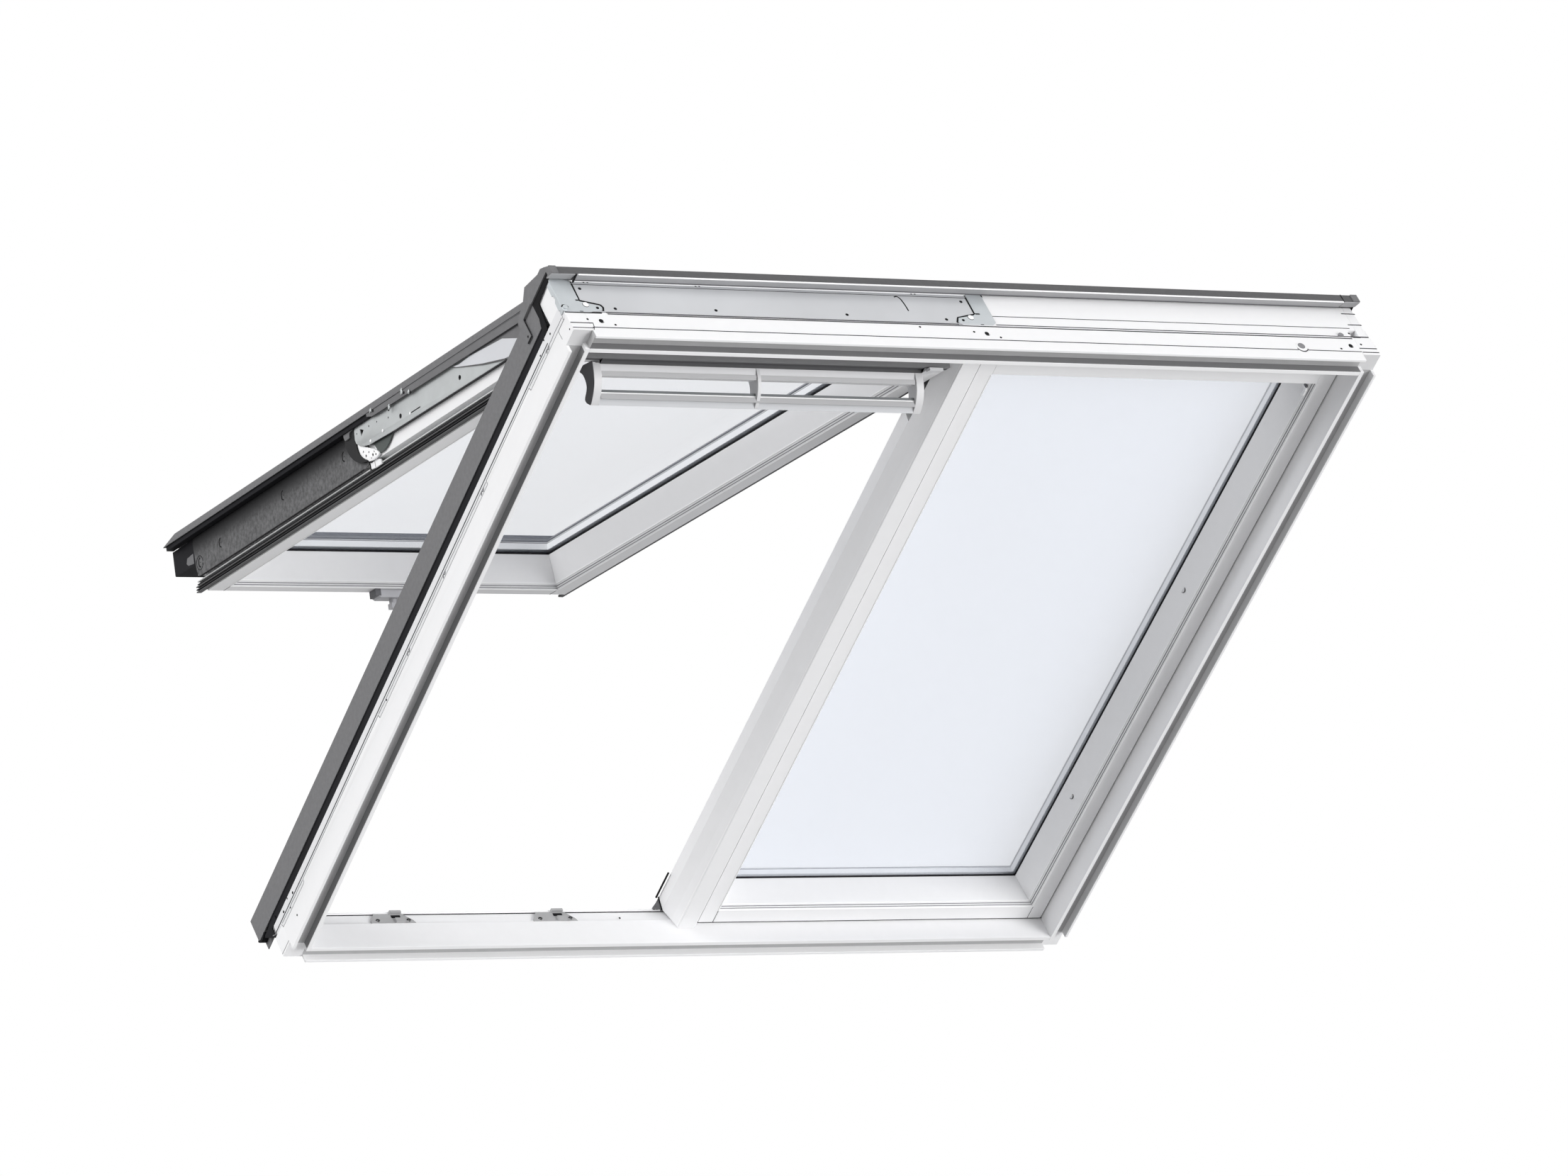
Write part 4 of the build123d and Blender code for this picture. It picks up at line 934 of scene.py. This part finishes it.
class WINDOW_OT_trim(bpy.types.Operator):
    """Member joints, plugs, catches and lock details"""

    bl_idname = "roof_window.trim"
    bl_label = "Joints and small fittings"

    def execute(self, context):
        # stile and rail joints on the faces
        fixed = [(u, u + 0.8, s0, s1) for s0, s1 in ((31.2, 54.5), (1120.6, 1145.8)) for u in (582.2, 48.4)]
        show("member_joints", "joint", "gasket",
             slabs([(-580.9, -580.1, 31.6, 55.5), (-49.9, -49.1, 31.6, 55.5)], 34.85, 35.2, opened),
             slabs(fixed, 37.35, 37.7, at))
        # dark clearance round the fixed sash
        show("fixed_clearance", "shadow", "gasket",
             slab(20.0, 24.4, 29.2, 1148.8, 38.4, 40.0, at),
             slab(20.0, 608.0, 29.1, 30.9, 38.4, 44.0, at),
             slab(606.1, 607.9, 29.2, 1148.8, 39.5, 44.0, at))
        plugs = (1090.0, 675.0, 258.0)
        show("reveal_plugs", "plug_pale", "catch",
             discs([(s, 66.0, 4.6) for s in plugs], 569.5, 571.4, "u", at), soft=0.4)
        show("reveal_plug_rims", "joint", "gasket",
             *[trace(circle(s, 66.0, 4.9, 20), 0.7, 569.6, 570.9, "u", at) for s in plugs])
        # painted highlights on the moulding's crests in the whiter strip finish, and dark rods between them as
        # painted shade
        self.moulding("strip", ((24.4, 37.5, 0.9), (29.6, 45.5, 0.8)))
        self.moulding("plug", ((26.5, 39.4, 0.55), (28.0, 42.2, 0.6)))
        clip = [(1070, 48.5), (1068.5, 44.5), (1072, 41.5), (1082, 41.5), (1085.5, 44), (1085.5, 52),
                (1082, 54), (1081, 46.5), (1073, 46.5)]
        show("glazing_clip", "strip", "white", prism(clip, 571.5, 575.4, "u", at), soft=0.6)
        show("glazing_clip_shade", "lock_dark", "catch", slab(571.6, 574.6, 1085.0, 1087.5, 43.5, 50, at))
        for side, end in SIDES:
            softened("catch_" + end, "_soft", "catch", 0.6)
        marks = [disc(-98.0, 50.0, 1.5, 28.6, 29.3, "s", at, 12)]
        for u in (-496.5, -237.3):
            marks += [
                trace(circle(u + 11, 50.0, 2.9, 14, 20, 150), 1.6, 28.9, 29.4, "s", at),
                trace(circle(u + 60, 50.5, 2.9, 14, 20, 150), 1.6, 28.9, 29.4, "s", at),
                slab(u + 34.5, u + 48.5, 28.5, 29.15, 55.6, 60.8, at)]
        show("catch_marks", "shadow", "gasket", *marks)
        softened("sash_lock", "_soft", "lock", 0.9)
        show("lock_side", "lock_dark", "lock", slab(-347.5, -338.5, 33.0, 53.2, 24.0, 35.0, opened), soft=0.6)
        return {"FINISHED"}

    def moulding(self, key, beads):
        """Thin rods along both sashes' inner edges, each bead being its inset, its height and its radius."""
        rods = []
        for inset, n, r in beads:
            for start, left, right, lift, top, place in (
                    (31, 24.5, 606, 0.0, 1098, at), (31.5, -606, -24, -2.5, 1092, opened)):
                low = start + inset
                rods += [
                    disc(left + inset, n + lift, r, low, top, "s", place, 8),
                    disc(right - inset, n + lift, r, low, top, "s", place, 8),
                    disc(low, n + lift, r, left + inset, right - inset, "u", place, 8)]
        show("moulding_" + key, key, "white", *rods)


class WINDOW_OT_stage(bpy.types.Operator):
    """Camera, lamps, backdrop and floor"""

    bl_idname = "roof_window.stage"
    bl_label = "Stage"

    def execute(self, context):
        scene = context.scene
        camera = bpy.data.objects.new("Camera", bpy.data.cameras.new("Camera"))
        camera.location = (-5.4110, -9.4901, 0.2770)
        camera.rotation_euler = (math.radians(91.204), 0.0, math.radians(-30.494))
        camera.data.lens = 174.83
        camera.data.sensor_width = 36.0
        scene.collection.objects.link(camera)
        scene.camera = camera
        for name, strength, toward in (
                ("Left lamp", sizes().left_light, (-0.85, -0.25, 0.45)),
                ("Side lamp", sizes().side_light, (-0.9, 0.1, 0.42)),
                ("Head lamp", sizes().head_light, (0.0, -0.7, 0.7)),
                ("High lamp", sizes().high_light, (-0.7, 0.1, 0.7)),
                ("Right lamp", sizes().right_light, (0.6, -0.8, 0.0))):
            glow = bpy.data.lights.new(name, "SUN")
            glow.energy = strength
            glow.angle = math.radians(40)
            lamp = bpy.data.objects.new(name, glow)
            lamp.rotation_euler = Vector(toward).to_track_quat("Z", "Y").to_euler()
            scene.collection.objects.link(lamp)
        scene.world = backdrop()
        bm = bmesh.new()
        bmesh.ops.create_circle(bm, cap_ends=True, radius=30.0, segments=64)
        mesh = bpy.data.meshes.new("Floor")
        bm.to_mesh(mesh)
        bm.free()
        floor = bpy.data.objects.new("Floor", mesh)
        floor.location = (0.0, -0.2, sizes().floor_level)
        scene.collection.objects.link(floor)
        mesh.materials.append(floor_finish())
        floor.visible_shadow = False
        scene.view_settings.view_transform = "Standard"
        return {"FINISHED"}


def backdrop():
    """White world for the camera, for reflections and through the panes, and an even dim light elsewhere."""
    world = bpy.data.worlds.new("Studio")
    world.use_nodes = True
    tree = world.node_tree
    tree.nodes.clear()
    link = tree.links.new
    ray = shader_node(tree, "ShaderNodeLightPath", -800, 0)
    direct = shader_node(tree, "ShaderNodeMath", -600, 0, operation="MAXIMUM")
    seen = shader_node(tree, "ShaderNodeMath", -420, 0, operation="MAXIMUM")
    room = shader_node(tree, "ShaderNodeBackground", -240, 120, Color=(1, 1, 1, 1), Strength=sizes().ambient)
    white = shader_node(tree, "ShaderNodeBackground", -240, -60, Color=(1, 1, 1, 1), Strength=1.0)
    mix = shader_node(tree, "ShaderNodeMixShader", 0, 0)
    out = shader_node(tree, "ShaderNodeOutputWorld", 200, 0)
    link(ray.outputs["Is Camera Ray"], direct.inputs[0])
    link(ray.outputs["Is Glossy Ray"], direct.inputs[1])
    link(direct.outputs[0], seen.inputs[0])
    link(ray.outputs["Is Transmission Ray"], seen.inputs[1])
    link(seen.outputs[0], mix.inputs["Fac"])
    link(room.outputs[0], mix.inputs[1])
    link(white.outputs[0], mix.inputs[2])
    link(mix.outputs[0], out.inputs["Surface"])
    return world


def floor_finish():
    """Pale floor that keeps the shadow near the window and meets the white backdrop further out."""
    material = bpy.data.materials.new("Floor")
    material.use_nodes = True
    tree = material.node_tree
    tree.nodes.clear()
    link = tree.links.new
    spot = shader_node(tree, "ShaderNodeTexCoord", -900, 0)
    reach = shader_node(tree, "ShaderNodeVectorMath", -720, 0, operation="LENGTH")
    fade = shader_node(tree, "ShaderNodeMapRange", -540, 0)
    fade.inputs["From Min"].default_value = 0.7
    fade.inputs["From Max"].default_value = 2.4
    fade.inputs["To Min"].default_value = 0.55
    fade.interpolation_type = "SMOOTHSTEP"
    ray = shader_node(tree, "ShaderNodeLightPath", -720, 260)
    seen = shader_node(tree, "ShaderNodeMath", -360, 120, operation="MULTIPLY")
    pale = shader_node(tree, "ShaderNodeBsdfDiffuse", -360, -120, Color=(0.7, 0.7, 0.7, 1))
    white = shader_node(tree, "ShaderNodeEmission", -360, -260, Strength=1.0)
    mix = shader_node(tree, "ShaderNodeMixShader", -120, 0)
    out = shader_node(tree, "ShaderNodeOutputMaterial", 80, 0)
    link(spot.outputs["Object"], reach.inputs[0])
    link(reach.outputs["Value"], fade.inputs["Value"])
    link(fade.outputs["Result"], seen.inputs[0])
    link(ray.outputs["Is Camera Ray"], seen.inputs[1])
    link(seen.outputs[0], mix.inputs["Fac"])
    link(pale.outputs[0], mix.inputs[1])
    link(white.outputs[0], mix.inputs[2])
    link(mix.outputs[0], out.inputs["Surface"])
    return material


OPERATORS = (
    WINDOW_OT_stage,
    WINDOW_OT_finishes,
    WINDOW_OT_timber,
    WINDOW_OT_sheets,
    WINDOW_OT_panes,
    WINDOW_OT_head,
    WINDOW_OT_jamb,
    WINDOW_OT_sash_side,
    WINDOW_OT_vent,
    WINDOW_OT_trim,
)


class WINDOW_PT_panel(bpy.types.Panel):
    """Lists the window's pieces and settings"""

    bl_label = "Roof window"
    bl_space_type = "VIEW_3D"
    bl_region_type = "UI"
    bl_category = "Roof window"

    def draw(self, context):
        for group in (context.scene.window_sizes, context.scene.window_colours):
            for key in group.bl_rna.properties.keys():
                if key not in ("rna_type", "name"):
                    self.layout.prop(group, key)
        for operator in OPERATORS:
            self.layout.operator(operator.bl_idname)


CLASSES = (WindowColours, WindowSizes) + OPERATORS + (WINDOW_PT_panel,)


def register():
    for item in CLASSES:
        bpy.utils.register_class(item)
    bpy.types.Scene.window_sizes = bpy.props.PointerProperty(type=WindowSizes)
    bpy.types.Scene.window_colours = bpy.props.PointerProperty(type=WindowColours)


def unregister():
    del bpy.types.Scene.window_colours
    del bpy.types.Scene.window_sizes
    for item in reversed(CLASSES):
        bpy.utils.unregister_class(item)


def main():
    register()
    bpy.ops.roof_window.stage()
    bpy.ops.roof_window.finishes()
    bpy.ops.roof_window.timber()
    bpy.ops.roof_window.sheets()
    bpy.ops.roof_window.panes()
    bpy.ops.roof_window.head()
    bpy.ops.roof_window.jamb()
    bpy.ops.roof_window.sash_side()
    bpy.ops.roof_window.vent()
    bpy.ops.roof_window.trim()


if __name__ == "__main__":
    main()
